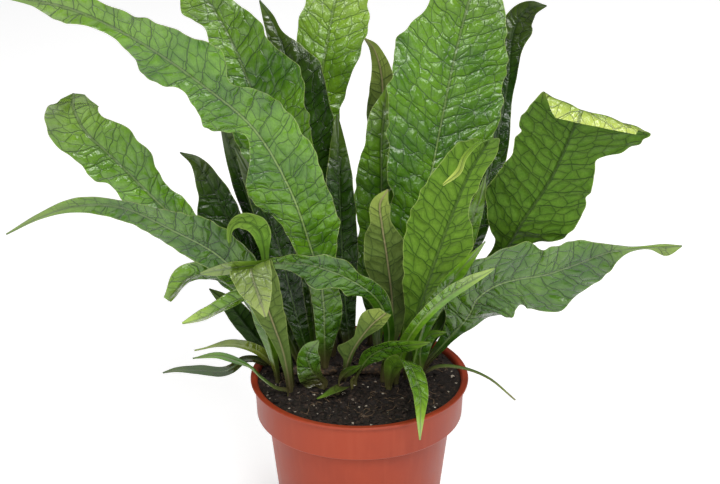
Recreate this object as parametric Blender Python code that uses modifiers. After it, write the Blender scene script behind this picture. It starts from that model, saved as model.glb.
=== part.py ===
"""Potted crocodile fern: a plastic nursery pot, its peat, two rhizomes and the fronds that rise from them.

Metres, +Z up, -Y towards the front. The origin is the middle of the pot's flat base.
Each frond is one loft along a midrib: a round stalk that widens into a thin, folded and ruffled blade.
"""

import math

import bmesh
import bpy
import numpy as np

OBJECT_NAME = "potted_fern"
MM = 0.001
GAP = 0.35

# Pot, in millimetres
POT_HEIGHT = 100.0
LIP_RADIUS = 60.0
LIP_HEIGHT = 1.4
COLLAR_RADIUS_TOP = 57.6
COLLAR_RADIUS_BOTTOM = 56.6
COLLAR_HEIGHT = 21.6
BODY_RADIUS_TOP = 50.4
BASE_RADIUS = 41.5
BASE_CHAMFER = 1.2
WALL = 1.6
DRAIN_HOLES = 8
DRAIN_HOLE_RADIUS = 3.5
DRAIN_RING_RADIUS = 28.0
POT_STEPS = 56

# Peat, in millimetres
PEAT_EDGE_HEIGHT = POT_HEIGHT - 3.2
PEAT_MOUND = 2.4
PEAT_STEPS = 40

# Fronds, in millimetres
STALK_RADIUS = 1.5
RIB_TIP_RADIUS = 0.45
BLADE_HALF_THICKNESS = 0.32
UPRIGHT_START = 3.5
STATION_SPACING = 12.0
BEND_WEIGHT = 12.0
RING = (-1.0, -0.5, 0.0, 0.5, 1.0)
FRONT = (0, -1, 0.3)
BACK = (0, 1, -0.3)
TILTED = (0, -0.9, 0.45)
UP = (0, -0.5, 0.85)

GREEN = (0.105, 0.235, 0.030)
DARK_GREEN = (0.050, 0.130, 0.020)
BRIGHT_GREEN = (0.180, 0.360, 0.045)
GREY_GREEN = (0.165, 0.235, 0.090)
YELLOW_GREEN = (0.330, 0.420, 0.080)
TERRACOTTA = (0.430, 0.090, 0.036)
PEAT_BROWN = (0.016, 0.010, 0.008)
RHIZOME_BROWN = (0.075, 0.045, 0.022)


def collection(name):
    made = bpy.data.collections.new(name)
    bpy.context.scene.collection.children.link(made)
    return made


def material(name, colour, roughness):
    made = bpy.data.materials.get(name)
    if made is None:
        made = bpy.data.materials.new(name)
        made.use_nodes = True
        shader = made.node_tree.nodes["Principled BSDF"]
        shader.inputs["Base Color"].default_value = (*colour, 1.0)
        shader.inputs["Roughness"].default_value = roughness
        shader.inputs["Metallic"].default_value = 0.0
    return made


def smooth_curve(points, per_span):
    """A centripetal Catmull-Rom curve through the points, with per_span samples between neighbours."""
    points = np.array(points, float)
    before = 2 * points[0] - points[1]
    after = 2 * points[-1] - points[-2]
    points = np.vstack([before, points, after])
    curve = []
    for a, b, c, d in zip(points, points[1:], points[2:], points[3:]):
        ab = math.sqrt(np.linalg.norm(b - a))
        bc = math.sqrt(np.linalg.norm(c - b))
        cd = math.sqrt(np.linalg.norm(d - c))
        leave = ((b - a) / ab - (c - a) / (ab + bc) + (c - b) / bc) * bc
        arrive = ((c - b) / bc - (d - b) / (bc + cd) + (d - c) / cd) * bc
        for u in np.arange(per_span) / per_span:
            curve.append(
                (2 * u**3 - 3 * u**2 + 1) * b
                + (u**3 - 2 * u**2 + u) * leave
                + (3 * u**2 - 2 * u**3) * c
                + (u**3 - u**2) * arrive
            )
    curve.append(points[-2])
    return np.array(curve)


def smooth_values(values, at):
    """The values, evenly spaced over 0 to 1, read at the shares in at with eased steps between them."""
    values = np.array(values, float)
    place = np.clip(at, 0, 1) * (len(values) - 1)
    low = np.minimum(place.astype(int), len(values) - 2)
    u = place - low
    slope = np.gradient(values)
    return (
        (2 * u**3 - 3 * u**2 + 1) * values[low]
        + (u**3 - 2 * u**2 + u) * slope[low]
        + (3 * u**2 - 2 * u**3) * values[low + 1]
        + (u**3 - u**2) * slope[low + 1]
    )


def unit(vectors):
    return vectors / np.linalg.norm(vectors, axis=-1, keepdims=True)


def carried_normals(tangents, face):
    """The upper side's direction, carried along the midrib without turning about it."""
    normals = np.zeros_like(tangents)
    normal = np.array(face, float)
    for i, tangent in enumerate(tangents):
        normal = unit(normal - normal.dot(tangent) * tangent)
        normals[i] = normal
    return normals


class Frond:
    """The midrib of a frond with its frames, read at any share of its length."""

    def __init__(self, spine, left, right, face, twist, fold, ruffle):
        foot = spine[0]
        ground = ground_height(foot[0], foot[1]) + GAP
        start = [(foot[0], foot[1], ground), (foot[0], foot[1], ground + UPRIGHT_START)]
        self.points = smooth_curve([*start, *spine[1:]], 24)
        steps = np.linalg.norm(np.diff(self.points, axis=0), axis=1)
        self.tangents = unit(np.gradient(self.points, axis=0))
        turns = np.linalg.norm(np.diff(self.tangents, axis=0), axis=1)
        length = np.concatenate([[0], np.cumsum(steps)])
        effort = np.concatenate([[0], np.cumsum(steps + BEND_WEIGHT * turns)])
        self.share = length / length[-1]
        self.effort = effort
        self.normals = carried_normals(self.tangents, face)
        self.left = left
        self.right = right
        self.twist = twist
        self.fold = math.radians(fold)
        self.waves, self.ruffle = ruffle

    def stations(self, spacing):
        """Shares of the length, closer together where the midrib bends."""
        count = max(7, int(round(self.effort[-1] / spacing)))
        return np.interp(np.linspace(0, self.effort[-1], count), self.effort, self.share)

    def frame(self, at):
        """Centre, upper direction and rightward direction at a share of the length."""
        centre = np.array([np.interp(at, self.share, self.points[:, k]) for k in range(3)])
        tangent = unit(np.array([np.interp(at, self.share, self.tangents[:, k]) for k in range(3)]))
        normal = np.array([np.interp(at, self.share, self.normals[:, k]) for k in range(3)])
        normal = unit(normal - normal.dot(tangent) * tangent)
        side = np.cross(tangent, normal)
        turn = math.radians(float(smooth_values(self.twist, np.array([at]))[0]))
        upper = math.cos(turn) * normal + math.sin(turn) * side
        return centre, upper, np.cross(tangent, upper)

    def half_width(self, at, across):
        values = self.left if across < 0 else self.right
        return max(0.25, float(smooth_values(values, np.array([at]))[0]))

    def lift(self, at, across):
        """How far the blade stands above its midrib, from its fold and its ruffled margins."""
        width = self.half_width(at, across)
        wide = min(1.0, width / 9.0)
        phase = 0.6 if across < 0 else 2.3
        wave = math.sin(2 * math.pi * self.waves * at + phase)
        return abs(across) * width * math.sin(self.fold) + self.ruffle * wide * across**2 * wave

    def rib(self, at):
        return STALK_RADIUS + (RIB_TIP_RADIUS - STALK_RADIUS) * at**0.7

    def ring(self, at):
        """One closed cross-section: the upper side from left to right, then the lower side back."""
        centre, upper, side = self.frame(at)
        top = []
        bottom = []
        for across in RING:
            out = across * self.half_width(at, across) * math.cos(self.fold)
            round_part = math.sqrt(max(0.0, self.rib(at) ** 2 - out**2))
            half = max(BLADE_HALF_THICKNESS, round_part)
            middle = centre + side * out + upper * self.lift(at, across)
            if abs(across) == 1:
                top.append(middle)
                continue
            top.append(middle + upper * min(half, 0.55 + 0.5 * round_part))
            bottom.append(middle - upper * half)
        return top + bottom[::-1]


def ground_height(x, y):
    """Height of what a stalk stands on: the peat's low mound, or a rhizome that lies on it."""
    height = peat_height(math.hypot(x, y))
    for start, end, radius in RHIZOMES.values():
        along = np.array(end, float) - np.array(start, float)
        share = np.clip(np.dot(np.array([x, y]) - start, along) / np.dot(along, along), 0, 1)
        gap = math.hypot(*(np.array(start) + share * along - (x, y)))
        if gap < radius + STALK_RADIUS:
            height = max(height, peat_height(0) + 2 * radius + GAP)
    return height


def peat_height(radius):
    share = min(1.0, radius / (COLLAR_RADIUS_TOP - WALL))
    return PEAT_EDGE_HEIGHT + PEAT_MOUND * (1 - share**2)


def new_object(name, mesh, into, parent, location=(0, 0, 0)):
    made = bpy.data.objects.new(name, mesh)
    into.objects.link(made)
    made.location = location
    made.parent = parent
    return made


def shade_smooth(mesh, angle=40):
    mesh.shade_smooth()
    mesh.set_sharp_from_angle(angle=math.radians(angle))


def lofted(name, rings, into, parent, location):
    """A closed solid through the rings, in millimetres, placed at the location."""
    bm = bmesh.new()
    rows = []
    for ring in rings:
        rows.append([bm.verts.new((point - location) * MM) for point in ring])
    # Both sides of a blade are split along the same diagonal, so its two skins stay parallel
    for low, high in zip(rows, rows[1:]):
        for i in range(len(low)):
            j = (i + 1) % len(low)
            if i < len(low) // 2:
                bm.faces.new((low[i], low[j], high[j]))
                bm.faces.new((low[i], high[j], high[i]))
            else:
                bm.faces.new((low[i], low[j], high[i]))
                bm.faces.new((low[j], high[j], high[i]))
    bm.faces.new(rows[0][::-1])
    bm.faces.new(rows[-1])
    bmesh.ops.recalc_face_normals(bm, faces=bm.faces)
    mesh = bpy.data.meshes.new(name)
    bm.to_mesh(mesh)
    bm.free()
    shade_smooth(mesh, 70)
    return new_object(name, mesh, into, parent, [c * MM for c in location])


def turned(name, profile, steps, into, parent):
    """A turned solid: the profile runs from the axis over the top, down the outer side and back."""
    mesh = bpy.data.meshes.new(name)
    points = [(radius * MM, 0, height * MM) for radius, height in profile]
    edges = [(i, i + 1) for i in range(len(points) - 1)]
    mesh.from_pydata(points, edges, [])
    made = new_object(name, mesh, into, parent)
    screw = made.modifiers.new("Turn", "SCREW")
    screw.axis = "Z"
    screw.steps = steps
    screw.render_steps = steps
    screw.use_merge_vertices = True
    screw.merge_threshold = 0.00005
    screw.use_smooth_shade = False
    return made


def make_pot(into, cutters, parent):
    ledge = POT_HEIGHT - COLLAR_HEIGHT
    profile = [
        (0, WALL),
        (BASE_RADIUS - WALL, WALL),
        (BODY_RADIUS_TOP - WALL, ledge - 1.0),
        (COLLAR_RADIUS_BOTTOM - WALL, ledge + 1.2),
        (COLLAR_RADIUS_TOP - WALL, POT_HEIGHT - 1.2),
        (COLLAR_RADIUS_TOP - WALL + 0.9, POT_HEIGHT),
        (LIP_RADIUS - 0.4, POT_HEIGHT),
        (LIP_RADIUS, POT_HEIGHT - 0.4),
        (LIP_RADIUS - 0.1, POT_HEIGHT - LIP_HEIGHT),
        (COLLAR_RADIUS_TOP, POT_HEIGHT - LIP_HEIGHT - 0.4),
        (COLLAR_RADIUS_BOTTOM, ledge + 0.3),
        (COLLAR_RADIUS_BOTTOM - 0.5, ledge - 0.2),
        (BODY_RADIUS_TOP + 0.4, ledge - 0.9),
        (BODY_RADIUS_TOP - 0.1, ledge - 2.6),
        (BASE_RADIUS, BASE_CHAMFER),
        (BASE_RADIUS - BASE_CHAMFER, 0),
        (0, 0),
    ]
    pot = turned("pot", profile, POT_STEPS, into, parent)
    pot.data.materials.append(material("pot_plastic", TERRACOTTA, 0.45))
    for i in range(DRAIN_HOLES):
        angle = 2 * math.pi * (i + 0.5) / DRAIN_HOLES
        bpy.ops.mesh.primitive_cylinder_add(
            vertices=12,
            radius=DRAIN_HOLE_RADIUS * MM,
            depth=4 * WALL * MM,
            location=(
                DRAIN_RING_RADIUS * MM * math.cos(angle),
                DRAIN_RING_RADIUS * MM * math.sin(angle),
                WALL * MM / 2,
            ),
        )
        cutter = bpy.context.object
        cutter.name = f"drain_cutter_{i + 1}"
        bpy.context.collection.objects.unlink(cutter)
        cutters.objects.link(cutter)
        cutter.hide_render = True
        cutter.display_type = "WIRE"
        cut = pot.modifiers.new(f"Drain {i + 1}", "BOOLEAN")
        cut.operation = "DIFFERENCE"
        cut.solver = "EXACT"
        cut.object = cutter
    return pot


def make_peat(into, parent):
    ledge = POT_HEIGHT - COLLAR_HEIGHT
    edge = COLLAR_RADIUS_TOP - WALL - GAP - 0.1
    profile = [(edge * share, peat_height(edge * share)) for share in (0, 0.35, 0.65, 0.88, 1)]
    profile += [
        (COLLAR_RADIUS_BOTTOM - WALL - GAP, ledge + 1.9),
        (BODY_RADIUS_TOP - WALL - GAP - 0.2, ledge - 0.6),
        (BASE_RADIUS - WALL - GAP - 0.1, WALL + GAP),
        (0, WALL + GAP),
    ]
    peat = turned("peat", profile, PEAT_STEPS, into, parent)
    peat.data.materials.append(material("peat", PEAT_BROWN, 0.95))


# Each rhizome creeps over the peat: start, end and radius in millimetres
RHIZOMES = {
    "rhizome_left": ((-38, 0), (-12, 1), 3.0),
    "rhizome_right": ((-3, 1), (29, 2), 3.0),
}


def make_rhizome(name, into, parent):
    """A knobbly creeping stem that lies on the peat."""
    start, end, radius = RHIZOMES[name]
    level = peat_height(0) + GAP + radius
    along = np.array([*end, 0.0]) - np.array([*start, 0.0])
    length = np.linalg.norm(along)
    along = along / length
    side = np.cross(along, (0, 0, 1))
    rings = []
    for i in range(10):
        share = i / 9
        swell = math.sqrt(max(0.06, 1 - (2 * share - 1) ** 4))
        swell *= 0.93 + 0.07 * math.sin(5 * share * math.pi)
        centre = np.array([start[0], start[1], level]) + along * length * share
        ring = []
        for k in range(8):
            angle = 2 * math.pi * k / 8
            reach = radius * swell * np.array([math.cos(angle), math.sin(angle)])
            ring.append(centre + side * reach[0] + np.array([0, 0, reach[1]]))
        rings.append(ring)
    made = lofted(name, rings, into, parent, np.array([start[0], start[1], level]))
    made.data.materials.append(material("rhizome", RHIZOME_BROWN, 0.9))


LANCE = (0.13, 0.15, 0.25, 0.50, 0.80, 0.97, 1.00, 0.92, 0.72, 0.42, 0.05)
STALKED = (0.10, 0.10, 0.10, 0.11, 0.16, 0.45, 0.85, 1.00, 0.85, 0.50, 0.05)
STRAP = (0.30, 0.42, 0.62, 0.82, 0.96, 1.00, 0.97, 0.88, 0.70, 0.42, 0.05)


def shaped(width, profile):
    """Half-widths for a symmetric blade of one of the plain profiles."""
    return [width * share for share in profile]


# Every frond: material, midrib points from its foot to its tip, half-widths left and right of the
# midrib at even steps, the way its upper side looks at the foot, twist in degrees at even steps,
# fold in degrees (positive lifts both margins to the upper side), and ruffle as waves and height.
# The foot has no height: it stands on what is below it. Left and right are as seen on the upper side.
FRONDS = {
    "frond_long_left": {
        "tone": "green",
        "spine": [
            (-19, -2), (-19, -5, 122), (-20, -8, 155), (-27, -11, 187), (-37, -15, 220),
            (-55, -20, 256), (-79, -27, 282), (-112, -34, 310), (-146, -40, 330), (-180, -44, 338),
        ],
        "left": (
            1.8, 4, 5.5, 6.5, 7, 8, 11, 18, 21, 13, 6,
            18, 13, 8, 15.5, 10, 4.5, 5, 9, 3, 0.4,
        ),
        "right": (
            1.8, 5, 9.5, 10, 10, 15, 20, 20, 22, 22, 21,
            22, 13, 23, 19, 18, 14, 10, 9, 6, 0.4,
        ),
        "face": FRONT, "twist": (0, 0, 0, 0), "fold": 10, "ruffle": (5, 2.6),
    },
    "frond_top_left": {
        "tone": "green",
        "spine": [
            (-24, 13), (-27, 16, 140), (-38, 20, 198), (-51, 26, 236),
            (-62, 33, 268), (-76, 41, 296), (-98, 49, 322),
        ],
        "left": (
            1.8, 3, 5, 7, 9, 12, 14, 15, 16, 16.5, 17,
            17, 17, 17, 16, 15, 12, 9, 15, 8, 0.4,
        ),
        "right": (
            1.8, 3, 5, 8, 10, 13, 16, 17, 19, 21, 22,
            25, 26.5, 28.5, 29, 20, 20, 13, 11, 8, 0.4,
        ),
        "face": FRONT, "twist": (0, 0, 0), "fold": 12, "ruffle": (5, 2.4),
    },
    "frond_top_narrow": {
        "tone": "dark_green",
        "spine": [
            (-15, 24), (-18, 30, 140), (-24, 37, 190), (-32, 46, 238),
            (-40, 54, 267), (-48, 60, 286), (-54, 63, 296),
        ],
        "left": (
            1.6, 3, 4, 5.5, 7, 8, 9, 9, 9.5, 10, 10.5,
            11, 11.5, 12, 12, 11, 9, 8, 6, 4, 0.4,
        ),
        "right": (
            1.6, 3, 4, 6, 8, 10, 12, 13, 14, 15, 16,
            16.5, 17, 17, 17.5, 18, 17, 11, 3.5, 2.5, 0.4,
        ),
        "face": FRONT, "twist": (0, 0), "fold": 14, "ruffle": (4, 1.8),
    },
    "frond_top_bright": {
        "tone": "bright_green",
        "spine": [
            (-9, 33), (-20, 44, 130), (-25, 58, 184), (-23, 72, 230),
            (-19, 80, 257), (-13, 90, 287), (-4, 100, 316),
        ],
        "left": (1.8, 4, 8, 12, 14, 15, 16, 17, 17, 14, 0.4),
        "right": (1.8, 4, 7, 9, 11, 12, 13, 17, 21, 16, 0.4),
        "face": FRONT, "twist": (0, 0), "fold": 8, "ruffle": (4, 2.0),
    },
    "frond_dark_centre": {
        "tone": "dark_green",
        "spine": [(-5, 22), (-8, 23, 135.5), (-10, 25, 177), (-11, 29, 211), (-12, 32, 242)],
        "left": shaped(9, STRAP), "right": shaped(9, STRAP),
        "face": FRONT, "twist": (0, 0), "fold": 10, "ruffle": (3, 1.2),
    },
    "frond_curled_back": {
        "tone": "grey_green",
        "spine": [
            (6, 38), (8, 52, 134), (11, 68, 188), (13, 80, 224),
            (12, 86, 245), (8, 88, 258), (3, 83, 266),
        ],
        "left": (1.5, 2, 4, 6, 7, 7, 7, 8, 8, 5, 0.5),
        "right": (1.5, 2, 4, 6, 8, 8, 8, 9, 8, 4, 0.5),
        "face": BACK, "twist": (0, 0), "fold": 14, "ruffle": (4, 1.8),
    },
    "frond_tall_right": {
        "tone": "green",
        "spine": [
            (24, 13), (29, 17, 139), (34, 22, 178), (40, 28, 214), (46, 35, 246),
            (52, 42, 275), (59, 48, 302), (66, 53, 322), (71, 56, 338),
        ],
        "left": (
            1.8, 3, 4, 6, 8, 12, 15, 19, 20, 25, 26.5,
            29, 31.5, 32.5, 33, 31, 22, 20, 16, 9, 0.4,
        ),
        "right": (
            1.8, 3, 4, 6, 9, 14, 18, 21, 24, 26, 28,
            29.5, 30.5, 29.7, 29, 26.7, 23.3, 19, 14, 8, 0.4,
        ),
        "face": FRONT, "twist": (0, 0), "fold": 9, "ruffle": (5, 2.2),
    },
    "frond_hook_back": {
        "tone": "dark_green",
        "spine": [
            (38, 29), (52, 40, 134), (67, 52, 176), (76, 63, 213), (82, 73, 244),
            (84, 80, 266), (88, 82, 279), (95, 79, 286), (102, 73, 289),
        ],
        "left": (1.6, 3, 7, 9, 10, 10, 9, 8, 6, 7, 0.5),
        "right": (1.6, 3, 6, 7, 7, 7, 6.5, 4, 6, 10, 0.5),
        "face": FRONT, "twist": (0, 10, -30), "fold": 12, "ruffle": (5, 2.0),
    },
    "frond_lance_centre": {
        "tone": "green",
        "spine": [
            (10, 18), (10, 24, 136), (11, 29, 170), (12, 33, 198), (12, 38, 225), (15, 43, 254),
        ],
        "left": (1.6, 3, 7, 11, 13, 12, 15, 13.5, 9.4, 7.6, 0.4),
        "right": (1.6, 3, 6, 10, 13, 15, 14, 12, 9, 5, 0.4),
        "face": FRONT, "twist": (0, 0), "fold": 12, "ruffle": (4, 1.6),
    },
    "frond_small_centre": {
        "tone": "grey_green",
        "spine": [
            (17, 6), (18, 3, 140), (15, -2, 172), (12, -7, 195), (11, -9, 208), (15, -11, 217),
        ],
        "left": (1.6, 3, 6, 9, 11, 11, 10.5, 9.5, 5, 5.5, 0.4),
        "right": (1.6, 3, 6, 9, 11, 12, 12.5, 11, 6.5, 5, 0.4),
        "face": BACK, "twist": (0, 0), "fold": 8, "ruffle": (4, 1.5),
    },
    "frond_curled_centre": {
        "tone": "bright_green",
        "spine": [
            (26, -5), (29, -9, 134), (34, -13, 155), (41, -19, 182), (49, -26, 211), (57, -32, 236),
            (64, -37, 252), (66, -41, 258), (61, -46, 259), (54, -50, 253), (51, -51, 245),
            (43, -52, 238),
        ],
        "left": (
            1.7, 2.5, 4, 5, 6, 9, 12, 15, 17, 17, 16,
            10, 7.5, 8, 7.5, 9, 7, 3.5, 2.5, 2.5, 0.8,
        ),
        "right": (
            1.7, 2.5, 4, 5, 6, 9, 12.5, 15, 17.5, 20, 20,
            20.5, 20, 17.5, 15, 13, 8, 3.5, 2.5, 2.5, 0.8,
        ),
        "face": BACK, "twist": (0, 0), "fold": 10, "ruffle": (4, 1.8),
    },
    "frond_broad_right": {
        "tone": "green",
        "spine": [
            (33, 9), (50, 9, 135), (69, 6, 163), (80, 2, 178), (86, -5, 194),
            (100, -17, 225), (109.5, -33, 260), (112.3, -40.4, 274), (112.6, -43.4, 276),
            (112, -46.5, 274.5), (111.2, -48.6, 271),
        ],
        "left": (
            1.8, 2, 2.5, 3, 3, 3, 3.2, 3.5, 4, 8, 17,
            25, 26, 24, 22, 20, 19, 29, 36, 36, 30,
        ),
        "right": (
            1.8, 2, 2.5, 3, 3, 3, 3.2, 3.5, 5, 10, 17,
            24, 26, 26, 25, 25, 25, 27, 26, 22, 12,
        ),
        "face": BACK, "twist": (0, 0), "fold": 2, "ruffle": (5, 1.8),
    },
    "frond_low_right": {
        "tone": "green",
        "spine": [
            (36, 7), (47, 5, 118), (59, 1, 135), (64, -4, 149), (73, -7, 158), (84, -9, 163),
            (100, -9, 166), (116, -9, 172), (134, -10, 180), (152, -11, 183), (172, -13, 185),
        ],
        "left": (
            1.8, 2.5, 3, 5, 9, 14, 18, 21, 22, 23, 24,
            22, 19, 18, 16, 9, 5, 1.8, 1.2, 1.6, 0.4,
        ),
        "right": (
            1.8, 2.5, 3, 3, 4, 8, 15, 19, 21, 17, 20.5,
            22, 22, 19, 16, 12, 6, 2, 1.5, 5.5, 0.5,
        ),
        "face": TILTED, "twist": (0, 0), "fold": 5, "ruffle": (5, 2.0),
    },
    "frond_rolled_left": {
        "tone": "green",
        "spine": [
            (-33, 12), (-48, 15, 134), (-73, 18, 162), (-103, 20, 189),
            (-131, 22, 219), (-147, 21, 237), (-152, 16, 252), (-151, 8, 264),
        ],
        "left": (
            1.8, 3, 5, 6.5, 8, 9.5, 11, 12, 13, 13, 13,
            13, 13, 13, 12.5, 15.5, 14, 16.5, 17.5, 15, 7,
        ),
        "right": (
            1.8, 3, 5, 6, 7, 8, 9, 9, 9, 9.5, 10,
            12.5, 10.3, 13, 18.5, 18.3, 19, 13.5, 12.3, 13.4, 6,
        ),
        "face": FRONT, "twist": (0, 0), "fold": 9, "ruffle": (4, 2.0),
    },
    "frond_far_left": {
        "tone": "green",
        "spine": [
            (-41, 1), (-50, -2, 134), (-62, -6, 160), (-77, -10, 179), (-98, -14, 194),
            (-126, -18, 210), (-149, -21, 212), (-168, -24, 207), (-186, -26, 198),
        ],
        "left": (1.8, 4, 6, 8, 9, 10, 8, 6.5, 4, 1.5, 0.4),
        "right": (1.8, 4, 8, 14, 16, 16, 10.5, 5, 5.3, 3, 0.4),
        "face": FRONT, "twist": (0, 0), "fold": 8, "ruffle": (3, 1.6),
    },
    "frond_dark_left": {
        "tone": "dark_green",
        "spine": [
            (-33, 21), (-49, 25, 134), (-68, 29, 172), (-80, 31, 199), (-89, 31, 215), (-97, 29, 221),
        ],
        "left": (1.5, 4, 7, 10, 13, 15, 15.5, 15, 9, 4.6, 0.4),
        "right": (1.5, 3, 5, 7, 8, 9, 9, 8.5, 7, 4.8, 0.4),
        "face": FRONT, "twist": (0, 0), "fold": 8, "ruffle": (3, 1.2),
    },
    "frond_shaded_back": {
        "tone": "dark_green",
        "spine": [
            (-29, 27), (-41, 31, 132), (-57, 36, 178), (-66, 39, 203), (-73, 42, 226), (-76, 44, 238),
        ],
        "left": shaped(6, STRAP), "right": shaped(12, STRAP),
        "face": FRONT, "twist": (0, 0), "fold": 8, "ruffle": (3, 1.2),
    },
    "frond_shaded_front": {
        "tone": "dark_green",
        "spine": [(-27, 6), (-35, 5, 137), (-46, 4, 186), (-56, 3, 213), (-66, 2, 236)],
        "left": shaped(8, STRAP), "right": shaped(8, STRAP),
        "face": FRONT, "twist": (0, 0), "fold": 8, "ruffle": (3, 1.2),
    },
    "frond_hooded_left": {
        "tone": "bright_green",
        "spine": [
            (-37, -10), (-42, -16, 141), (-49, -22, 172), (-50.5, -26, 191), (-52.5, -28, 201),
            (-57, -30, 206.5), (-63, -32, 208), (-66.5, -33, 205.5), (-68, -34, 201), (-68, -34, 197),
        ],
        "left": (
            1.4, 1.6, 1.8, 1.8, 1.8, 1.8, 1.8, 1.8, 1.8, 1.8, 1.8,
            1.8, 1.8, 2, 2.8, 4.6, 6.6, 8.6, 8, 3.6, 0.9,
        ),
        "right": (
            1.4, 1.6, 1.8, 1.8, 1.8, 1.8, 1.8, 1.8, 1.8, 1.8, 1.8,
            1.8, 1.8, 2, 2.6, 3.8, 4.4, 4.8, 4.2, 1.3, 0.9,
        ),
        "face": BACK, "twist": (0, 0), "fold": -14, "ruffle": (3, 0.3),
    },
    "frond_front_arch": {
        "tone": "bright_green",
        "spine": [
            (13, -6), (16, -12, 134), (10, -18, 155), (-5, -23, 170), (-24, -27, 180),
            (-39, -29, 182.5), (-51, -31, 183), (-66, -33, 182), (-84, -35, 179.5),
        ],
        "left": (
            1.6, 1.8, 2, 2.4, 3, 3.4, 4, 4.5, 5, 10, 8,
            11, 14, 11, 5.5, 3.5, 2.8, 3.5, 5, 4, 0.6,
        ),
        "right": (
            1.6, 1.8, 2, 2.4, 3, 3.5, 4.5, 6, 8, 8.5, 8,
            11.5, 9.8, 7, 9, 6, 2.8, 3.5, 5, 4, 0.6,
        ),
        "face": FRONT, "twist": (0, 0), "fold": 6, "ruffle": (4, 1.2),
    },
    "frond_folded_front": {
        "tone": "grey_green",
        "spine": [
            (-38, -16), (-41, -19, 124), (-46, -24, 144), (-51, -29, 163), (-55, -33, 178),
            (-57, -37, 183), (-55.5, -41, 178), (-52.5, -43, 169), (-49.5, -43, 158),
        ],
        "left": (1.8, 2.2, 3.4, 4.8, 7, 8.5, 10, 11, 11, 7, 0.8),
        "right": (1.8, 2.2, 3.4, 4.8, 7, 8.5, 10, 11, 11, 7, 0.8),
        "face": BACK, "twist": (0, 0), "fold": 8, "ruffle": (3, 0.6),
    },
    "frond_bulged_left": {
        "tone": "green",
        "spine": [
            (-41, 7), (-49, 3, 129), (-62, -1, 154), (-78, -5, 164), (-91, -10, 165), (-103, -14, 153),
        ],
        "left": (1.5, 2, 3, 5, 6, 6, 6, 5.5, 5, 6, 3.5),
        "right": (1.5, 2, 3, 5, 6, 6, 6, 6.5, 8, 7.5, 3.5),
        "face": FRONT, "twist": (0, 0), "fold": -18, "ruffle": (4, 1.0),
    },
    "frond_narrow_left": {
        "tone": "bright_green",
        "spine": [
            (-45, -6), (-50, -11, 129), (-59, -15, 155),
            (-73, -19, 151), (-84, -21, 146), (-95, -22, 143),
        ],
        "left": (1.4, 2, 3, 4, 5, 5, 5, 4.5, 4.5, 4.2, 0.8),
        "right": (1.4, 2, 3, 4, 5, 6, 7, 7, 5.5, 5, 0.8),
        "face": FRONT, "twist": (0, 0), "fold": -20, "ruffle": (3, 0.5),
    },
    "frond_back_left": {
        "tone": "dark_green",
        "spine": [(-43, 14), (-57, 13, 117), (-71, 12, 137), (-82, 10, 148)],
        "left": shaped(6.5, STRAP), "right": shaped(6.5, STRAP),
        "face": BACK, "twist": (0, 0), "fold": 8, "ruffle": (2, 0.6),
    },
    "frond_yellow_left": {
        "tone": "yellow_green",
        "spine": [(-46, 4), (-55, 1, 114), (-69, -3, 121), (-90, -7, 119)],
        "left": (1.4, 1.6, 2.2, 2.6, 2.6, 2.4, 2.1, 1.9, 1, 0.5, 0.3),
        "right": (1.4, 2, 3, 4, 4.6, 4.4, 3.8, 3.2, 1.9, 0.7, 0.3),
        "face": UP, "twist": (0, 0), "fold": 8, "ruffle": (2, 0.6),
    },
    "frond_stalked_left": {
        "tone": "green",
        "spine": [
            (-39, -21), (-45, -24, 105), (-53, -25, 112), (-59, -24, 118),
            (-68, -23, 122), (-77, -22, 124), (-90, -22, 122),
        ],
        "left": shaped(2.4, STALKED), "right": shaped(2.4, STALKED),
        "face": UP, "twist": (0, 0), "fold": 6, "ruffle": (2, 0.3),
    },
    "frond_dark_low_left": {
        "tone": "dark_green",
        "spine": [
            (-46, 11), (-52, 9, 103), (-58, 8, 106), (-64, 7, 106), (-71, 5, 101.5),
            (-76, 4, 100.5), (-89, 1, 103), (-101, -1, 104), (-108, -3, 103),
        ],
        "left": (1.4, 2, 2.4, 2.8, 3.5, 3.8, 3.5, 3.4, 2.8, 1.8, 0.4),
        "right": (1.4, 2, 2.4, 2.8, 3.5, 3.6, 3.4, 3.4, 2.6, 1.8, 0.4),
        "face": UP, "twist": (0, 0), "fold": 6, "ruffle": (2, 0.6),
    },
    "frond_wavy_base": {
        "tone": "green",
        "spine": [(-20, -14), (-26, -18, 113), (-28, -20, 124), (-22, -20, 132)],
        "left": (1.5, 7, 10, 9, 8, 7.5, 6.5, 5.5, 4.5, 3, 0.5),
        "right": (1.5, 3, 3, 4, 5, 6, 7, 7, 6, 3, 0.5),
        "face": FRONT, "twist": (0, 0), "fold": 10, "ruffle": (3, 1.2),
    },
    "frond_tiny_front": {
        "tone": "bright_green",
        "spine": [(-12, -20), (-12, -22, 105), (-14, -26, 106), (-18, -29, 104.5), (-23, -31, 102)],
        "left": (1.4, 2, 2.5, 2.8, 2.6, 2.4, 2, 1.6, 1.2, 0.7, 0.3),
        "right": (1.4, 3, 5.5, 7.5, 7.5, 6.5, 5, 3.8, 2.6, 1.4, 0.3),
        "face": FRONT, "twist": (0, 0), "fold": 6, "ruffle": (1, 0.2),
    },
    "frond_small_front": {
        "tone": "green",
        "spine": [(-11, -11), (-6, -14, 110), (1, -17, 115)],
        "left": shaped(3, LANCE), "right": shaped(3, LANCE),
        "face": FRONT, "twist": (0, 0), "fold": 10, "ruffle": (1, 0.2),
    },
    "frond_cupped_front": {
        "tone": "grey_green",
        "spine": [(-8, -7), (-5, -16, 121), (0, -21, 133), (7, -26, 145), (14, -29, 153)],
        "left": (1.4, 1.8, 2, 2, 1.8, 2, 2.6, 4.5, 6, 6, 4),
        "right": (1.4, 1.8, 2, 3, 8, 5, 3.5, 5.5, 7.5, 7.8, 4),
        "face": BACK, "twist": (0, 0), "fold": 12, "ruffle": (2, 0.6),
    },
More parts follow.
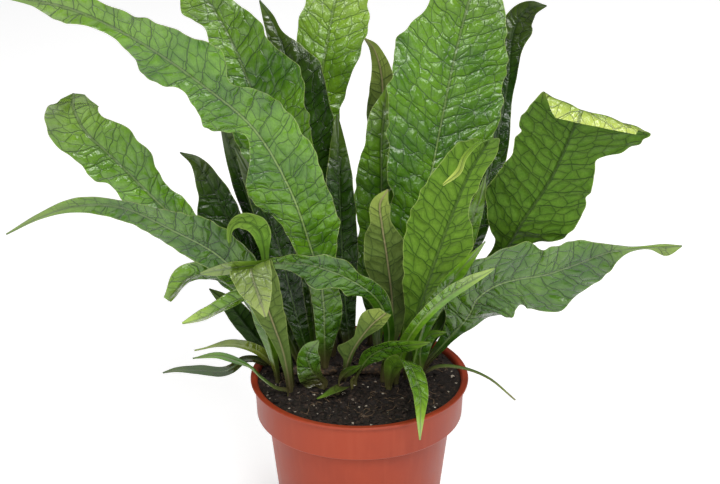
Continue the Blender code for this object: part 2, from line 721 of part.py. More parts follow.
    "frond_pointed_front": {
        "tone": "green",
        "spine": [(-2, -10), (5, -17, 120), (15, -23, 129), (25, -26, 132), (38, -28, 135)],
        "left": shaped(6.5, LANCE), "right": shaped(6.5, LANCE),
        "face": FRONT, "twist": (0, 0), "fold": 8, "ruffle": (2, 0.8),
    },
    "frond_over_rim": {
        "tone": "bright_green",
        "spine": [
            (16, -15), (19, -22, 118), (25, -31, 125), (29, -43, 124),
            (32, -55, 117), (32, -63, 107), (32, -65, 96),
        ],
        "left": (1.6, 3, 5, 6.5, 6.8, 6.8, 6.4, 5.5, 3.9, 2.1, 0.4),
        "right": (1.6, 3, 5, 6.5, 6.8, 6.8, 6.4, 5.5, 3.9, 2.1, 0.4),
        "face": BACK, "twist": (0, 0), "fold": 8, "ruffle": (2, 0.6),
    },
    "frond_narrow_right": {
        "tone": "bright_green",
        "spine": [(20, -9), (25, -19, 130), (37, -28, 153), (51, -34, 169), (71, -40, 185)],
        "left": (1.5, 2, 3, 4, 4.5, 5, 5.5, 6, 6, 4.5, 0.4),
        "right": (1.5, 2, 2.5, 3, 3, 3, 3, 3, 3, 2, 0.4),
        "face": FRONT, "twist": (0, 0), "fold": 14, "ruffle": (2, 0.4),
    },
    "frond_crimped_right": {
        "tone": "green",
        "spine": [(34, -8), (33.5, -11.5, 123), (38.5, -15, 133), (47, -18, 136)],
        "left": shaped(5, LANCE), "right": shaped(5, LANCE),
        "face": FRONT, "twist": (0, 0), "fold": 8, "ruffle": (2, 1.0),
    },
    "frond_thin_right": {
        "tone": "grey_green",
        "spine": [(35, -3), (43, -7, 109), (56, -14, 112), (70, -22, 110), (84, -34, 103)],
        "left": shaped(1.1, STRAP), "right": shaped(1.1, STRAP),
        "face": UP, "twist": (0, 0), "fold": 4, "ruffle": (1, 0.0),
    },
    "frond_edge_right": {
        "tone": "green",
        "spine": [(29, 4), (43, 4, 145), (57, 2, 182), (64, -2, 207), (67, -4, 222.5)],
        "left": shaped(6, STRAP), "right": shaped(6, STRAP),
        "face": FRONT, "twist": (0, 0), "fold": 10, "ruffle": (3, 0.8),
    },
    "frond_triangle_right": {
        "tone": "green",
        "spine": [(28, -11), (35, -20, 142), (48, -27, 170), (66, -33, 197)],
        "left": shaped(5, LANCE), "right": shaped(5, LANCE),
        "face": FRONT, "twist": (0, 0), "fold": 10, "ruffle": (2, 0.4),
    },
    "sprout": {
        "tone": "yellow_green",
        "spine": [(-4, -17), (-4, -17.5, 106), (-3, -19, 109)],
        "left": shaped(1.1, STRAP), "right": shaped(1.1, STRAP),
        "face": FRONT, "twist": (0, 0), "fold": 10, "ruffle": (1, 0.0),
    },
}

TONES = {
    "green": GREEN,
    "dark_green": DARK_GREEN,
    "bright_green": BRIGHT_GREEN,
    "grey_green": GREY_GREEN,
    "yellow_green": YELLOW_GREEN,
}


def make_frond(name, into, parent):
    spec = FRONDS[name]
    frond = Frond(*(spec[key] for key in ("spine", "left", "right", "face", "twist", "fold", "ruffle")))
    rings = [frond.ring(at) for at in frond.stations(STATION_SPACING)]
    made = lofted(name, rings, into, parent, frond.points[0])
    made.data.materials.append(material("leaf_" + spec["tone"], TONES[spec["tone"]], 0.4))


def main():
    for old in list(bpy.data.objects):
        bpy.data.objects.remove(old, do_unlink=True)
    parts = collection(OBJECT_NAME)
    cutters = collection("cutters")
    root = bpy.data.objects.new("potted_fern_root", None)
    parts.objects.link(root)
    make_pot(parts, cutters, root)
    make_peat(parts, root)
    for name in RHIZOMES:
        make_rhizome(name, parts, root)
    for name in FRONDS:
        make_frond(name, parts, root)


main()
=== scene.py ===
"""Looks of the potted crocodile fern: ruffled fronds, peat, rhizomes, pot, light and camera."""

import math
import random

import bmesh
import bpy
import numpy as np
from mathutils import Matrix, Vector, noise


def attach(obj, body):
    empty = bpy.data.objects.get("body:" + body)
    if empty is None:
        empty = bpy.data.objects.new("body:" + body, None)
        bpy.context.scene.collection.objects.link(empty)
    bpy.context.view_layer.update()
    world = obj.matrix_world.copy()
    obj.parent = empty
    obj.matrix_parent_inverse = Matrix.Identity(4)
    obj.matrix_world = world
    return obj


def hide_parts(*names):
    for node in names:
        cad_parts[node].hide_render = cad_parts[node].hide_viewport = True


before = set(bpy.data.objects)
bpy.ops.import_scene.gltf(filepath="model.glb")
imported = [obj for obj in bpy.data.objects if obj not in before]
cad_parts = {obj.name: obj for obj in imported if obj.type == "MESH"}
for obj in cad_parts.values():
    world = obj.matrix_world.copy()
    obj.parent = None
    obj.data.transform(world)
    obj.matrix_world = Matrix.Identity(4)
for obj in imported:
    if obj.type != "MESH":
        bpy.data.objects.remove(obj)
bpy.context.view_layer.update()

MM = 0.001
GAP = 0.35
SEED = 20

# The pot and the peat, in millimetres, as the solids have them
POT_HEIGHT = 100.0
LIP_RADIUS = 60.0
LIP_HEIGHT = 1.4
COLLAR_RADIUS_TOP = 57.6
COLLAR_RADIUS_BOTTOM = 56.6
COLLAR_HEIGHT = 21.6
BODY_RADIUS_TOP = 50.4
BASE_RADIUS = 41.5
WALL = 1.6
DRAIN_HOLES = 8
DRAIN_HOLE_RADIUS = 3.5
DRAIN_RING_RADIUS = 28.0
PEAT_EDGE_HEIGHT = POT_HEIGHT - 3.2
PEAT_MOUND = 2.4
PEAT_RADIUS = COLLAR_RADIUS_TOP - WALL
PEAT_LIFT = 0.35

# The fronds, in millimetres
STALK_RADIUS = 1.5
RIB_TIP_RADIUS = 0.45
UPRIGHT_START = 3.5
BEND_WEIGHT = 12.0
BLADE_HALF_THICKNESS = 0.2
ROW_SPACING = 1.5
COLUMN_SPACING = 1.5
VEIN_SPACING = 11.0
VEIN_STAGGER = 4.5
VEIN_SLANT = 0.5
VEIN_CURVE = 0.004
QUILT_HEIGHT = 0.8
RUFFLE_FULL_WIDTH = 9
QUILT_FULL_WIDTH = 12
NIBBLE_LENGTHS, NIBBLE_HEIGHTS = (9, 14, 23), (0.01, 0.018, 0.025)
MARGIN_LENGTHS, MARGIN_HEIGHTS = (9, 15, 24), (0.35, 0.5, 0.5)
STRAIGHT = (0, 0)
FRONT = (0, -1, 0.3)
BACK = (0, 1, -0.3)
TILTED = (0, -0.9, 0.45)
UP = (0, -0.5, 0.85)

# The leaf material: gloss of an upper side, and shifts that give each frond and side its own pattern
UPPER_COAT = 0.6
UPPER_SHINE = 0.24
SHINE_LOST_BELOW = 0.16
FROND_SHIFT = 37.7
SIDE_SHIFT = 61.3

# Bits on the peat, in millimetres
SCATTER_REACH = 0.97
FIBRE_REACH = 50
FIBRE_LIMIT = 53
FIBRE_STEP = 1.3
ROUGH_TURN = 6.28

# Studio
FLOOR_HALF_SIZE = 6.0
FLOOR_GLOW = 0.47
WORLD_STRENGTH = 0.12
LIT_POINT = (0, 0, 0.18)
CAMERA_DISTANCE = 1.5
CAMERA_ELEVATION = math.radians(28.2)
CAMERA_PITCH = math.radians(25.4)
CAMERA_LENS = 136.0
CAMERA_SENSOR = 36.0
CAMERA_SIDE = 0.33

LANCE = (0.13, 0.15, 0.25, 0.50, 0.80, 0.97, 1.00, 0.92, 0.72, 0.42, 0.05)
STALKED = (0.10, 0.10, 0.10, 0.11, 0.16, 0.45, 0.85, 1.00, 0.85, 0.50, 0.05)
STRAP = (0.30, 0.42, 0.62, 0.82, 0.96, 1.00, 0.97, 0.88, 0.70, 0.42, 0.05)


def shaped(width, profile):
    """Half-widths for a symmetric blade of one of the plain profiles."""
    return [width * share for share in profile]


def both(half_widths):
    """The same half-widths on either side of the midrib."""
    return {"left": half_widths, "right": half_widths}


RHIZOMES = {
    "rhizome_left": ((-38, 0), (-12, 1), 3.0),
    "rhizome_right": ((-3, 1), (29, 2), 3.0),
}

# Every frond: material, midrib points from its foot to its tip, half-widths left and right of the
# midrib at even steps, the way its upper side looks at the foot, twist in degrees at even steps,
# fold in degrees (positive lifts both margins to the upper side), and ruffle as waves and height.
# The foot has no height: it stands on what is below it. Left and right are as seen on the upper side.
# Without a face given the upper side looks to the front, and without a twist the blade has none.
FRONDS = {
    "frond_long_left": dict(
        tone="green",
        spine=[
            (-19, -2), (-19, -5, 122), (-20, -8, 155), (-27, -11, 187), (-37, -15, 220),
            (-55, -20, 256), (-79, -27, 282), (-112, -34, 310), (-146, -40, 330), (-180, -44, 338),
        ],
        left=(
            1.8, 4, 5.5, 6.5, 7, 8, 11, 18, 21, 13, 6,
            18, 13, 8, 15.5, 10, 4.5, 5, 9, 3, 0.4,
        ),
        right=(
            1.8, 5, 9.5, 10, 10, 15, 20, 20, 22, 22, 21,
            22, 13, 23, 19, 18, 14, 10, 9, 6, 0.4,
        ),
        fold=10, ruffle=(5, 2.6),
    ),
    "frond_top_left": dict(
        tone="green",
        spine=[
            (-24, 13), (-27, 16, 140), (-38, 20, 198), (-51, 26, 236),
            (-62, 33, 268), (-76, 41, 296), (-98, 49, 322),
        ],
        left=(
            1.8, 3, 5, 7, 9, 12, 14, 15, 16, 16.5, 17,
            17, 17, 17, 16, 15, 12, 9, 15, 8, 0.4,
        ),
        right=(
            1.8, 3, 5, 8, 10, 13, 16, 17, 19, 21, 22,
            25, 26.5, 28.5, 29, 20, 20, 13, 11, 8, 0.4,
        ),
        fold=12, ruffle=(5, 2.4),
    ),
    "frond_top_narrow": dict(
        tone="dark_green",
        spine=[
            (-15, 24), (-18, 30, 140), (-24, 37, 190), (-32, 46, 238),
            (-40, 54, 267), (-48, 60, 286), (-54, 63, 296),
        ],
        left=(
            1.6, 3, 4, 5.5, 7, 8, 9, 9, 9.5, 10, 10.5,
            11, 11.5, 12, 12, 11, 9, 8, 6, 4, 0.4,
        ),
        right=(
            1.6, 3, 4, 6, 8, 10, 12, 13, 14, 15, 16,
            16.5, 17, 17, 17.5, 18, 17, 11, 3.5, 2.5, 0.4,
        ),
        fold=14, ruffle=(4, 1.8),
    ),
    "frond_top_bright": dict(
        tone="bright_green",
        spine=[
            (-9, 33), (-20, 44, 130), (-25, 58, 184), (-23, 72, 230),
            (-19, 80, 257), (-13, 90, 287), (-4, 100, 316),
        ],
        left=(1.8, 4, 8, 12, 14, 15, 16, 17, 17, 14, 0.4),
        right=(1.8, 4, 7, 9, 11, 12, 13, 17, 21, 16, 0.4),
        fold=8, ruffle=(4, 2.0),
    ),
    "frond_dark_centre": dict(
        tone="dark_green",
        spine=[(-5, 22), (-8, 23, 135.5), (-10, 25, 177), (-11, 29, 211), (-12, 32, 242)],
        **both(shaped(9, STRAP)),
        fold=10, ruffle=(3, 1.2),
    ),
    "frond_curled_back": dict(
        tone="grey_green",
        spine=[
            (6, 38), (8, 52, 134), (11, 68, 188), (13, 80, 224),
            (12, 86, 245), (8, 88, 258), (3, 83, 266),
        ],
        left=(1.5, 2, 4, 6, 7, 7, 7, 8, 8, 5, 0.5),
        right=(1.5, 2, 4, 6, 8, 8, 8, 9, 8, 4, 0.5),
        face=BACK, fold=14, ruffle=(4, 1.8),
    ),
    "frond_tall_right": dict(
        tone="green",
        spine=[
            (24, 13), (29, 17, 139), (34, 22, 178), (40, 28, 214), (46, 35, 246),
            (52, 42, 275), (59, 48, 302), (66, 53, 322), (71, 56, 338),
        ],
        left=(
            1.8, 3, 4, 6, 8, 12, 15, 19, 20, 25, 26.5,
            29, 31.5, 32.5, 33, 31, 22, 20, 16, 9, 0.4,
        ),
        right=(
            1.8, 3, 4, 6, 9, 14, 18, 21, 24, 26, 28,
            29.5, 30.5, 29.7, 29, 26.7, 23.3, 19, 14, 8, 0.4,
        ),
        fold=9, ruffle=(5, 2.2),
    ),
    "frond_hook_back": dict(
        tone="dark_green",
        spine=[
            (38, 29), (52, 40, 134), (67, 52, 176), (76, 63, 213), (82, 73, 244),
            (84, 80, 266), (88, 82, 279), (95, 79, 286), (102, 73, 289),
        ],
        left=(1.6, 3, 7, 9, 10, 10, 9, 8, 6, 7, 0.5),
        right=(1.6, 3, 6, 7, 7, 7, 6.5, 4, 6, 10, 0.5),
        twist=(0, 10, -30), fold=12, ruffle=(5, 2.0),
    ),
    "frond_lance_centre": dict(
        tone="green",
        spine=[
            (10, 18), (10, 24, 136), (11, 29, 170), (12, 33, 198), (12, 38, 225), (15, 43, 254),
        ],
        left=(1.6, 3, 7, 11, 13, 12, 15, 13.5, 9.4, 7.6, 0.4),
        right=(1.6, 3, 6, 10, 13, 15, 14, 12, 9, 5, 0.4),
        fold=12, ruffle=(4, 1.6),
    ),
    "frond_small_centre": dict(
        tone="grey_green",
        spine=[
            (17, 6), (18, 3, 140), (15, -2, 172), (12, -7, 195), (11, -9, 208), (15, -11, 217),
        ],
        left=(1.6, 3, 6, 9, 11, 11, 10.5, 9.5, 5, 5.5, 0.4),
        right=(1.6, 3, 6, 9, 11, 12, 12.5, 11, 6.5, 5, 0.4),
        face=BACK, fold=8, ruffle=(4, 1.5),
    ),
    "frond_curled_centre": dict(
        tone="bright_green",
        spine=[
            (26, -5), (29, -9, 134), (34, -13, 155), (41, -19, 182), (49, -26, 211), (57, -32, 236),
            (64, -37, 252), (66, -41, 258), (61, -46, 259), (54, -50, 253), (51, -51, 245),
            (43, -52, 238),
        ],
        left=(
            1.7, 2.5, 4, 5, 6, 9, 12, 15, 17, 17, 16,
            10, 7.5, 8, 7.5, 9, 7, 3.5, 2.5, 2.5, 0.8,
        ),
        right=(
            1.7, 2.5, 4, 5, 6, 9, 12.5, 15, 17.5, 20, 20,
            20.5, 20, 17.5, 15, 13, 8, 3.5, 2.5, 2.5, 0.8,
        ),
        face=BACK, fold=10, ruffle=(4, 1.8),
    ),
    "frond_broad_right": dict(
        tone="green",
        spine=[
            (33, 9), (50, 9, 135), (69, 6, 163), (80, 2, 178), (86, -5, 194),
            (100, -17, 225), (109.5, -33, 260), (112.3, -40.4, 274), (112.6, -43.4, 276),
            (112, -46.5, 274.5), (111.2, -48.6, 271),
        ],
        left=(
            1.8, 2, 2.5, 3, 3, 3, 3.2, 3.5, 4, 8, 17,
            25, 26, 24, 22, 20, 19, 29, 36, 36, 30,
        ),
        right=(
            1.8, 2, 2.5, 3, 3, 3, 3.2, 3.5, 5, 10, 17,
            24, 26, 26, 25, 25, 25, 27, 26, 22, 12,
        ),
        face=BACK, fold=2, ruffle=(5, 1.8),
    ),
    "frond_low_right": dict(
        tone="green",
        spine=[
            (36, 7), (47, 5, 118), (59, 1, 135), (64, -4, 149), (73, -7, 158), (84, -9, 163),
            (100, -9, 166), (116, -9, 172), (134, -10, 180), (152, -11, 183), (172, -13, 185),
        ],
        left=(
            1.8, 2.5, 3, 5, 9, 14, 18, 21, 22, 23, 24,
            22, 19, 18, 16, 9, 5, 1.8, 1.2, 1.6, 0.4,
        ),
        right=(
            1.8, 2.5, 3, 3, 4, 8, 15, 19, 21, 17, 20.5,
            22, 22, 19, 16, 12, 6, 2, 1.5, 5.5, 0.5,
        ),
        face=TILTED, fold=5, ruffle=(5, 2.0),
    ),
    "frond_rolled_left": dict(
        tone="green",
        spine=[
            (-33, 12), (-48, 15, 134), (-73, 18, 162), (-103, 20, 189),
            (-131, 22, 219), (-147, 21, 237), (-152, 16, 252), (-151, 8, 264),
        ],
        left=(
            1.8, 3, 5, 6.5, 8, 9.5, 11, 12, 13, 13, 13,
            13, 13, 13, 12.5, 15.5, 14, 16.5, 17.5, 15, 7,
        ),
        right=(
            1.8, 3, 5, 6, 7, 8, 9, 9, 9, 9.5, 10,
            12.5, 10.3, 13, 18.5, 18.3, 19, 13.5, 12.3, 13.4, 6,
        ),
        fold=9, ruffle=(4, 2.0),
    ),
    "frond_far_left": dict(
        tone="green",
        spine=[
            (-41, 1), (-50, -2, 134), (-62, -6, 160), (-77, -10, 179), (-98, -14, 194),
            (-126, -18, 210), (-149, -21, 212), (-168, -24, 207), (-186, -26, 198),
        ],
        left=(1.8, 4, 6, 8, 9, 10, 8, 6.5, 4, 1.5, 0.4),
        right=(1.8, 4, 8, 14, 16, 16, 10.5, 5, 5.3, 3, 0.4),
        fold=8, ruffle=(3, 1.6),
    ),
    "frond_dark_left": dict(
        tone="dark_green",
        spine=[
            (-33, 21), (-49, 25, 134), (-68, 29, 172), (-80, 31, 199), (-89, 31, 215), (-97, 29, 221),
        ],
        left=(1.5, 4, 7, 10, 13, 15, 15.5, 15, 9, 4.6, 0.4),
        right=(1.5, 3, 5, 7, 8, 9, 9, 8.5, 7, 4.8, 0.4),
        fold=8, ruffle=(3, 1.2),
    ),
    "frond_shaded_back": dict(
        tone="dark_green",
        spine=[
            (-29, 27), (-41, 31, 132), (-57, 36, 178), (-66, 39, 203), (-73, 42, 226), (-76, 44, 238),
        ],
        left=shaped(6, STRAP), right=shaped(12, STRAP),
        fold=8, ruffle=(3, 1.2),
    ),
    "frond_shaded_front": dict(
        tone="dark_green",
        spine=[(-27, 6), (-35, 5, 137), (-46, 4, 186), (-56, 3, 213), (-66, 2, 236)],
        **both(shaped(8, STRAP)),
        fold=8, ruffle=(3, 1.2),
    ),
    "frond_hooded_left": dict(
        tone="bright_green",
        spine=[
            (-37, -10), (-42, -16, 141), (-49, -22, 172), (-50.5, -26, 191), (-52.5, -28, 201),
            (-57, -30, 206.5), (-63, -32, 208), (-66.5, -33, 205.5), (-68, -34, 201), (-68, -34, 197),
        ],
        left=(
            1.4, 1.6, 1.8, 1.8, 1.8, 1.8, 1.8, 1.8, 1.8, 1.8, 1.8,
            1.8, 1.8, 2, 2.8, 4.6, 6.6, 8.6, 8, 3.6, 0.9,
        ),
        right=(
            1.4, 1.6, 1.8, 1.8, 1.8, 1.8, 1.8, 1.8, 1.8, 1.8, 1.8,
            1.8, 1.8, 2, 2.6, 3.8, 4.4, 4.8, 4.2, 1.3, 0.9,
        ),
        face=BACK, fold=-14, ruffle=(3, 0.3),
    ),
    "frond_front_arch": dict(
        tone="bright_green",
        spine=[
            (13, -6), (16, -12, 134), (10, -18, 155), (-5, -23, 170), (-24, -27, 180),
            (-39, -29, 182.5), (-51, -31, 183), (-66, -33, 182), (-84, -35, 179.5),
        ],
        left=(
            1.6, 1.8, 2, 2.4, 3, 3.4, 4, 4.5, 5, 10, 8,
            11, 14, 11, 5.5, 3.5, 2.8, 3.5, 5, 4, 0.6,
        ),
        right=(
            1.6, 1.8, 2, 2.4, 3, 3.5, 4.5, 6, 8, 8.5, 8,
            11.5, 9.8, 7, 9, 6, 2.8, 3.5, 5, 4, 0.6,
        ),
        fold=6, ruffle=(4, 1.2),
    ),
    "frond_folded_front": dict(
        tone="grey_green",
        spine=[
            (-38, -16), (-41, -19, 124), (-46, -24, 144), (-51, -29, 163), (-55, -33, 178),
            (-57, -37, 183), (-55.5, -41, 178), (-52.5, -43, 169), (-49.5, -43, 158),
        ],
        **both((1.8, 2.2, 3.4, 4.8, 7, 8.5, 10, 11, 11, 7, 0.8)),
        face=BACK, fold=8, ruffle=(3, 0.6),
    ),
    "frond_bulged_left": dict(
        tone="green",
        spine=[
            (-41, 7), (-49, 3, 129), (-62, -1, 154), (-78, -5, 164), (-91, -10, 165), (-103, -14, 153),
        ],
        left=(1.5, 2, 3, 5, 6, 6, 6, 5.5, 5, 6, 3.5),
        right=(1.5, 2, 3, 5, 6, 6, 6, 6.5, 8, 7.5, 3.5),
        fold=-18, ruffle=(4, 1.0),
    ),
    "frond_narrow_left": dict(
        tone="bright_green",
        spine=[
            (-45, -6), (-50, -11, 129), (-59, -15, 155),
            (-73, -19, 151), (-84, -21, 146), (-95, -22, 143),
        ],
        left=(1.4, 2, 3, 4, 5, 5, 5, 4.5, 4.5, 4.2, 0.8),
        right=(1.4, 2, 3, 4, 5, 6, 7, 7, 5.5, 5, 0.8),
        fold=-20, ruffle=(3, 0.5),
    ),
    "frond_back_left": dict(
        tone="dark_green",
        spine=[(-43, 14), (-57, 13, 117), (-71, 12, 137), (-82, 10, 148)],
        **both(shaped(6.5, STRAP)),
        face=BACK, fold=8, ruffle=(2, 0.6),
    ),
    "frond_yellow_left": dict(
        tone="yellow_green",
        spine=[(-46, 4), (-55, 1, 114), (-69, -3, 121), (-90, -7, 119)],
        left=(1.4, 1.6, 2.2, 2.6, 2.6, 2.4, 2.1, 1.9, 1, 0.5, 0.3),
        right=(1.4, 2, 3, 4, 4.6, 4.4, 3.8, 3.2, 1.9, 0.7, 0.3),
        face=UP, fold=8, ruffle=(2, 0.6),
    ),
    "frond_stalked_left": dict(
        tone="green",
        spine=[
            (-39, -21), (-45, -24, 105), (-53, -25, 112), (-59, -24, 118),
            (-68, -23, 122), (-77, -22, 124), (-90, -22, 122),
        ],
        **both(shaped(2.4, STALKED)),
        face=UP, fold=6, ruffle=(2, 0.3),
    ),
    "frond_dark_low_left": dict(
        tone="dark_green",
        spine=[
            (-46, 11), (-52, 9, 103), (-58, 8, 106), (-64, 7, 106), (-71, 5, 101.5),
            (-76, 4, 100.5), (-89, 1, 103), (-101, -1, 104), (-108, -3, 103),
        ],
        left=(1.4, 2, 2.4, 2.8, 3.5, 3.8, 3.5, 3.4, 2.8, 1.8, 0.4),
        right=(1.4, 2, 2.4, 2.8, 3.5, 3.6, 3.4, 3.4, 2.6, 1.8, 0.4),
        face=UP, fold=6, ruffle=(2, 0.6),
    ),
    "frond_wavy_base": dict(
        tone="green",
        spine=[(-20, -14), (-26, -18, 113), (-28, -20, 124), (-22, -20, 132)],
        left=(1.5, 7, 10, 9, 8, 7.5, 6.5, 5.5, 4.5, 3, 0.5),
        right=(1.5, 3, 3, 4, 5, 6, 7, 7, 6, 3, 0.5),
        fold=10, ruffle=(3, 1.2),
    ),
    "frond_tiny_front": dict(
        tone="bright_green",
        spine=[(-12, -20), (-12, -22, 105), (-14, -26, 106), (-18, -29, 104.5), (-23, -31, 102)],
        left=(1.4, 2, 2.5, 2.8, 2.6, 2.4, 2, 1.6, 1.2, 0.7, 0.3),
        right=(1.4, 3, 5.5, 7.5, 7.5, 6.5, 5, 3.8, 2.6, 1.4, 0.3),
        fold=6, ruffle=(1, 0.2),
    ),
    "frond_small_front": dict(
        tone="green",
        spine=[(-11, -11), (-6, -14, 110), (1, -17, 115)],
        **both(shaped(3, LANCE)),
        fold=10, ruffle=(1, 0.2),
    ),
    "frond_cupped_front": dict(
        tone="grey_green",
        spine=[(-8, -7), (-5, -16, 121), (0, -21, 133), (7, -26, 145), (14, -29, 153)],
        left=(1.4, 1.8, 2, 2, 1.8, 2, 2.6, 4.5, 6, 6, 4),
        right=(1.4, 1.8, 2, 3, 8, 5, 3.5, 5.5, 7.5, 7.8, 4),
        face=BACK, fold=12, ruffle=(2, 0.6),
    ),
    "frond_pointed_front": dict(
        tone="green",
        spine=[(-2, -10), (5, -17, 120), (15, -23, 129), (25, -26, 132), (38, -28, 135)],
        **both(shaped(6.5, LANCE)),
        fold=8, ruffle=(2, 0.8),
    ),
    "frond_over_rim": dict(
        tone="bright_green",
        spine=[
            (16, -15), (19, -22, 118), (25, -31, 125), (29, -43, 124),
            (32, -55, 117), (32, -63, 107), (32, -65, 96),
        ],
        **both((1.6, 3, 5, 6.5, 6.8, 6.8, 6.4, 5.5, 3.9, 2.1, 0.4)),
        face=BACK, fold=8, ruffle=(2, 0.6),
    ),
    "frond_narrow_right": dict(
        tone="bright_green",
        spine=[(20, -9), (25, -19, 130), (37, -28, 153), (51, -34, 169), (71, -40, 185)],
        left=(1.5, 2, 3, 4, 4.5, 5, 5.5, 6, 6, 4.5, 0.4),
        right=(1.5, 2, 2.5, 3, 3, 3, 3, 3, 3, 2, 0.4),
        fold=14, ruffle=(2, 0.4),
    ),
    "frond_crimped_right": dict(
        tone="green",
        spine=[(34, -8), (33.5, -11.5, 123), (38.5, -15, 133), (47, -18, 136)],
        **both(shaped(5, LANCE)),
        fold=8, ruffle=(2, 1.0),
    ),
    "frond_thin_right": dict(
        tone="grey_green",
        spine=[(35, -3), (43, -7, 109), (56, -14, 112), (70, -22, 110), (84, -34, 103)],
        **both(shaped(1.1, STRAP)),
        face=UP, fold=4, ruffle=(1, 0.0),
    ),
    "frond_edge_right": dict(
        tone="green",
        spine=[(29, 4), (43, 4, 145), (57, 2, 182), (64, -2, 207), (67, -4, 222.5)],
        **both(shaped(6, STRAP)),
        fold=10, ruffle=(3, 0.8),
    ),
    "frond_triangle_right": dict(
        tone="green",
        spine=[(28, -11), (35, -20, 142), (48, -27, 170), (66, -33, 197)],
        **both(shaped(5, LANCE)),
        fold=10, ruffle=(2, 0.4),
    ),
    "sprout": dict(
        tone="yellow_green",
        spine=[(-4, -17), (-4, -17.5, 106), (-3, -19, 109)],
        **both(shaped(1.1, STRAP)),
        fold=10, ruffle=(1, 0.0),
    ),
}


def peat_height(radius):
    """Height of the solid peat's low mound."""
    share = min(1.0, radius / PEAT_RADIUS)
    return PEAT_EDGE_HEIGHT + PEAT_MOUND * (1 - share**2)


def ground_height(x, y):
    """Height of what a stalk stands on: the peat's low mound, or a rhizome that lies on it."""
    height = peat_height(math.hypot(x, y))
    for start, end, radius in RHIZOMES.values():
        along = np.array(end, float) - np.array(start, float)
        share = np.clip(np.dot(np.array([x, y]) - start, along) / np.dot(along, along), 0, 1)
        gap = math.hypot(*(np.array(start) + share * along - (x, y)))
        if gap < radius + STALK_RADIUS:
            height = max(height, peat_height(0) + 2 * radius + GAP)
    return height


def smooth_curve(points, per_span):
    """A centripetal Catmull-Rom curve through the points, with per_span samples between neighbours."""
    points = np.array(points, float)
    before = 2 * points[0] - points[1]
    after = 2 * points[-1] - points[-2]
    points = np.vstack([before, points, after])
    curve = []
    for a, b, c, d in zip(points, points[1:], points[2:], points[3:]):
        ab = math.sqrt(np.linalg.norm(b - a))
        bc = math.sqrt(np.linalg.norm(c - b))
        cd = math.sqrt(np.linalg.norm(d - c))
        leave = ((b - a) / ab - (c - a) / (ab + bc) + (c - b) / bc) * bc
        arrive = ((c - b) / bc - (d - b) / (bc + cd) + (d - c) / cd) * bc
        for u in np.arange(per_span) / per_span:
            curve.append(
                (2 * u**3 - 3 * u**2 + 1) * b
                + (u**3 - 2 * u**2 + u) * leave
                + (3 * u**2 - 2 * u**3) * c
                + (u**3 - u**2) * arrive
            )
    curve.append(points[-2])
    return np.array(curve)


def smooth_values(values, at):
    """The values, evenly spaced over 0 to 1, read at the shares in at with eased steps between them."""
    values = np.array(values, float)
    place = np.clip(at, 0, 1) * (len(values) - 1)
    low = np.minimum(place.astype(int), len(values) - 2)
    u = place - low
    slope = np.gradient(values)
    return (
        (2 * u**3 - 3 * u**2 + 1) * values[low]
        + (u**3 - 2 * u**2 + u) * slope[low]
        + (3 * u**2 - 2 * u**3) * values[low + 1]
        + (u**3 - u**2) * slope[low + 1]
    )


def unit(vectors):
    return vectors / np.linalg.norm(vectors, axis=-1, keepdims=True)


def waves(x, seed, lengths, heights):
    """A smooth wandering value along x: a few sine waves that don't repeat together."""
    rng = random.Random(seed)
    total = np.zeros_like(x)
    for length, height in zip(lengths, heights):
        period = length * rng.uniform(0.85, 1.15)
        total += height * np.sin(2 * math.pi * x / period + rng.uniform(0, ROUGH_TURN))
    return total


def circle_point(radius, angle):
    return radius * math.cos(angle), radius * math.sin(angle)


def add_object(name, data):
    thing = bpy.data.objects.new(name, data)
    bpy.context.scene.collection.objects.link(thing)
    return thing


def new_piece(name, points, faces, node=None):
    """A mesh piece from points in millimetres, which rides on the plant and may stand for a solid."""
    mesh = bpy.data.meshes.new(name)
    mesh.from_pydata(np.asarray(points) * MM, [], faces)
    mesh.update()
    piece = add_object(name, mesh)
    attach(piece, "root")
    if node:
        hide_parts(node)
    return piece


def smooth(mesh, angle):
    """Smooth shading, except at edges sharper than the angle in degrees."""
    mesh.shade_smooth()
    mesh.set_sharp_from_angle(angle=math.radians(angle))


def coat(piece, angle, look):
    smooth(piece.data, angle)
    piece.data.materials.append(look)


def band_faces(first, bands, steps):
    """Faces between neighbouring circles of points, the first circle starting at point first."""
    faces = []
    for i in range(bands):
        a, b = first + i * steps, first + (i + 1) * steps
        for k in range(steps):
            n = (k + 1) % steps
            faces.append((a + k, b + k, b + n, a + n))
    return faces


def ring_faces(rows, columns):
    """Faces between closed rings of equal size, with a cap at each end."""
    faces = []
    for i in range(rows - 1):
        for j in range(columns):
            k = (j + 1) % columns
            a, b = i * columns, (i + 1) * columns
            faces.append((a + j, a + k, b + k, b + j))
    faces.append(tuple(range(columns))[::-1])
    faces.append(tuple(range((rows - 1) * columns, rows * columns)))
    return faces


def midrib(spec):
    """The midrib's points, directions, upper normals, lengths, and lengths that grow at bends."""
    spine = spec["spine"]
    x, y = spine[0]
    ground = ground_height(x, y) + GAP
    points = smooth_curve([(x, y, ground), (x, y, ground + UPRIGHT_START), *spine[1:]], 24)
    steps = np.linalg.norm(np.diff(points, axis=0), axis=1)
    tangents = unit(np.gradient(points, axis=0))
    turns = np.linalg.norm(np.diff(tangents, axis=0), axis=1)
    length = np.concatenate([[0], np.cumsum(steps)])
    effort = np.concatenate([[0], np.cumsum(steps + BEND_WEIGHT * turns)])
    normals = np.zeros_like(tangents)
    normal = np.array(spec.get("face", FRONT), float)
    for i, tangent in enumerate(tangents):
        normal = unit(normal - normal.dot(tangent) * tangent)
        normals[i] = normal
    return points, tangents, normals, length, effort


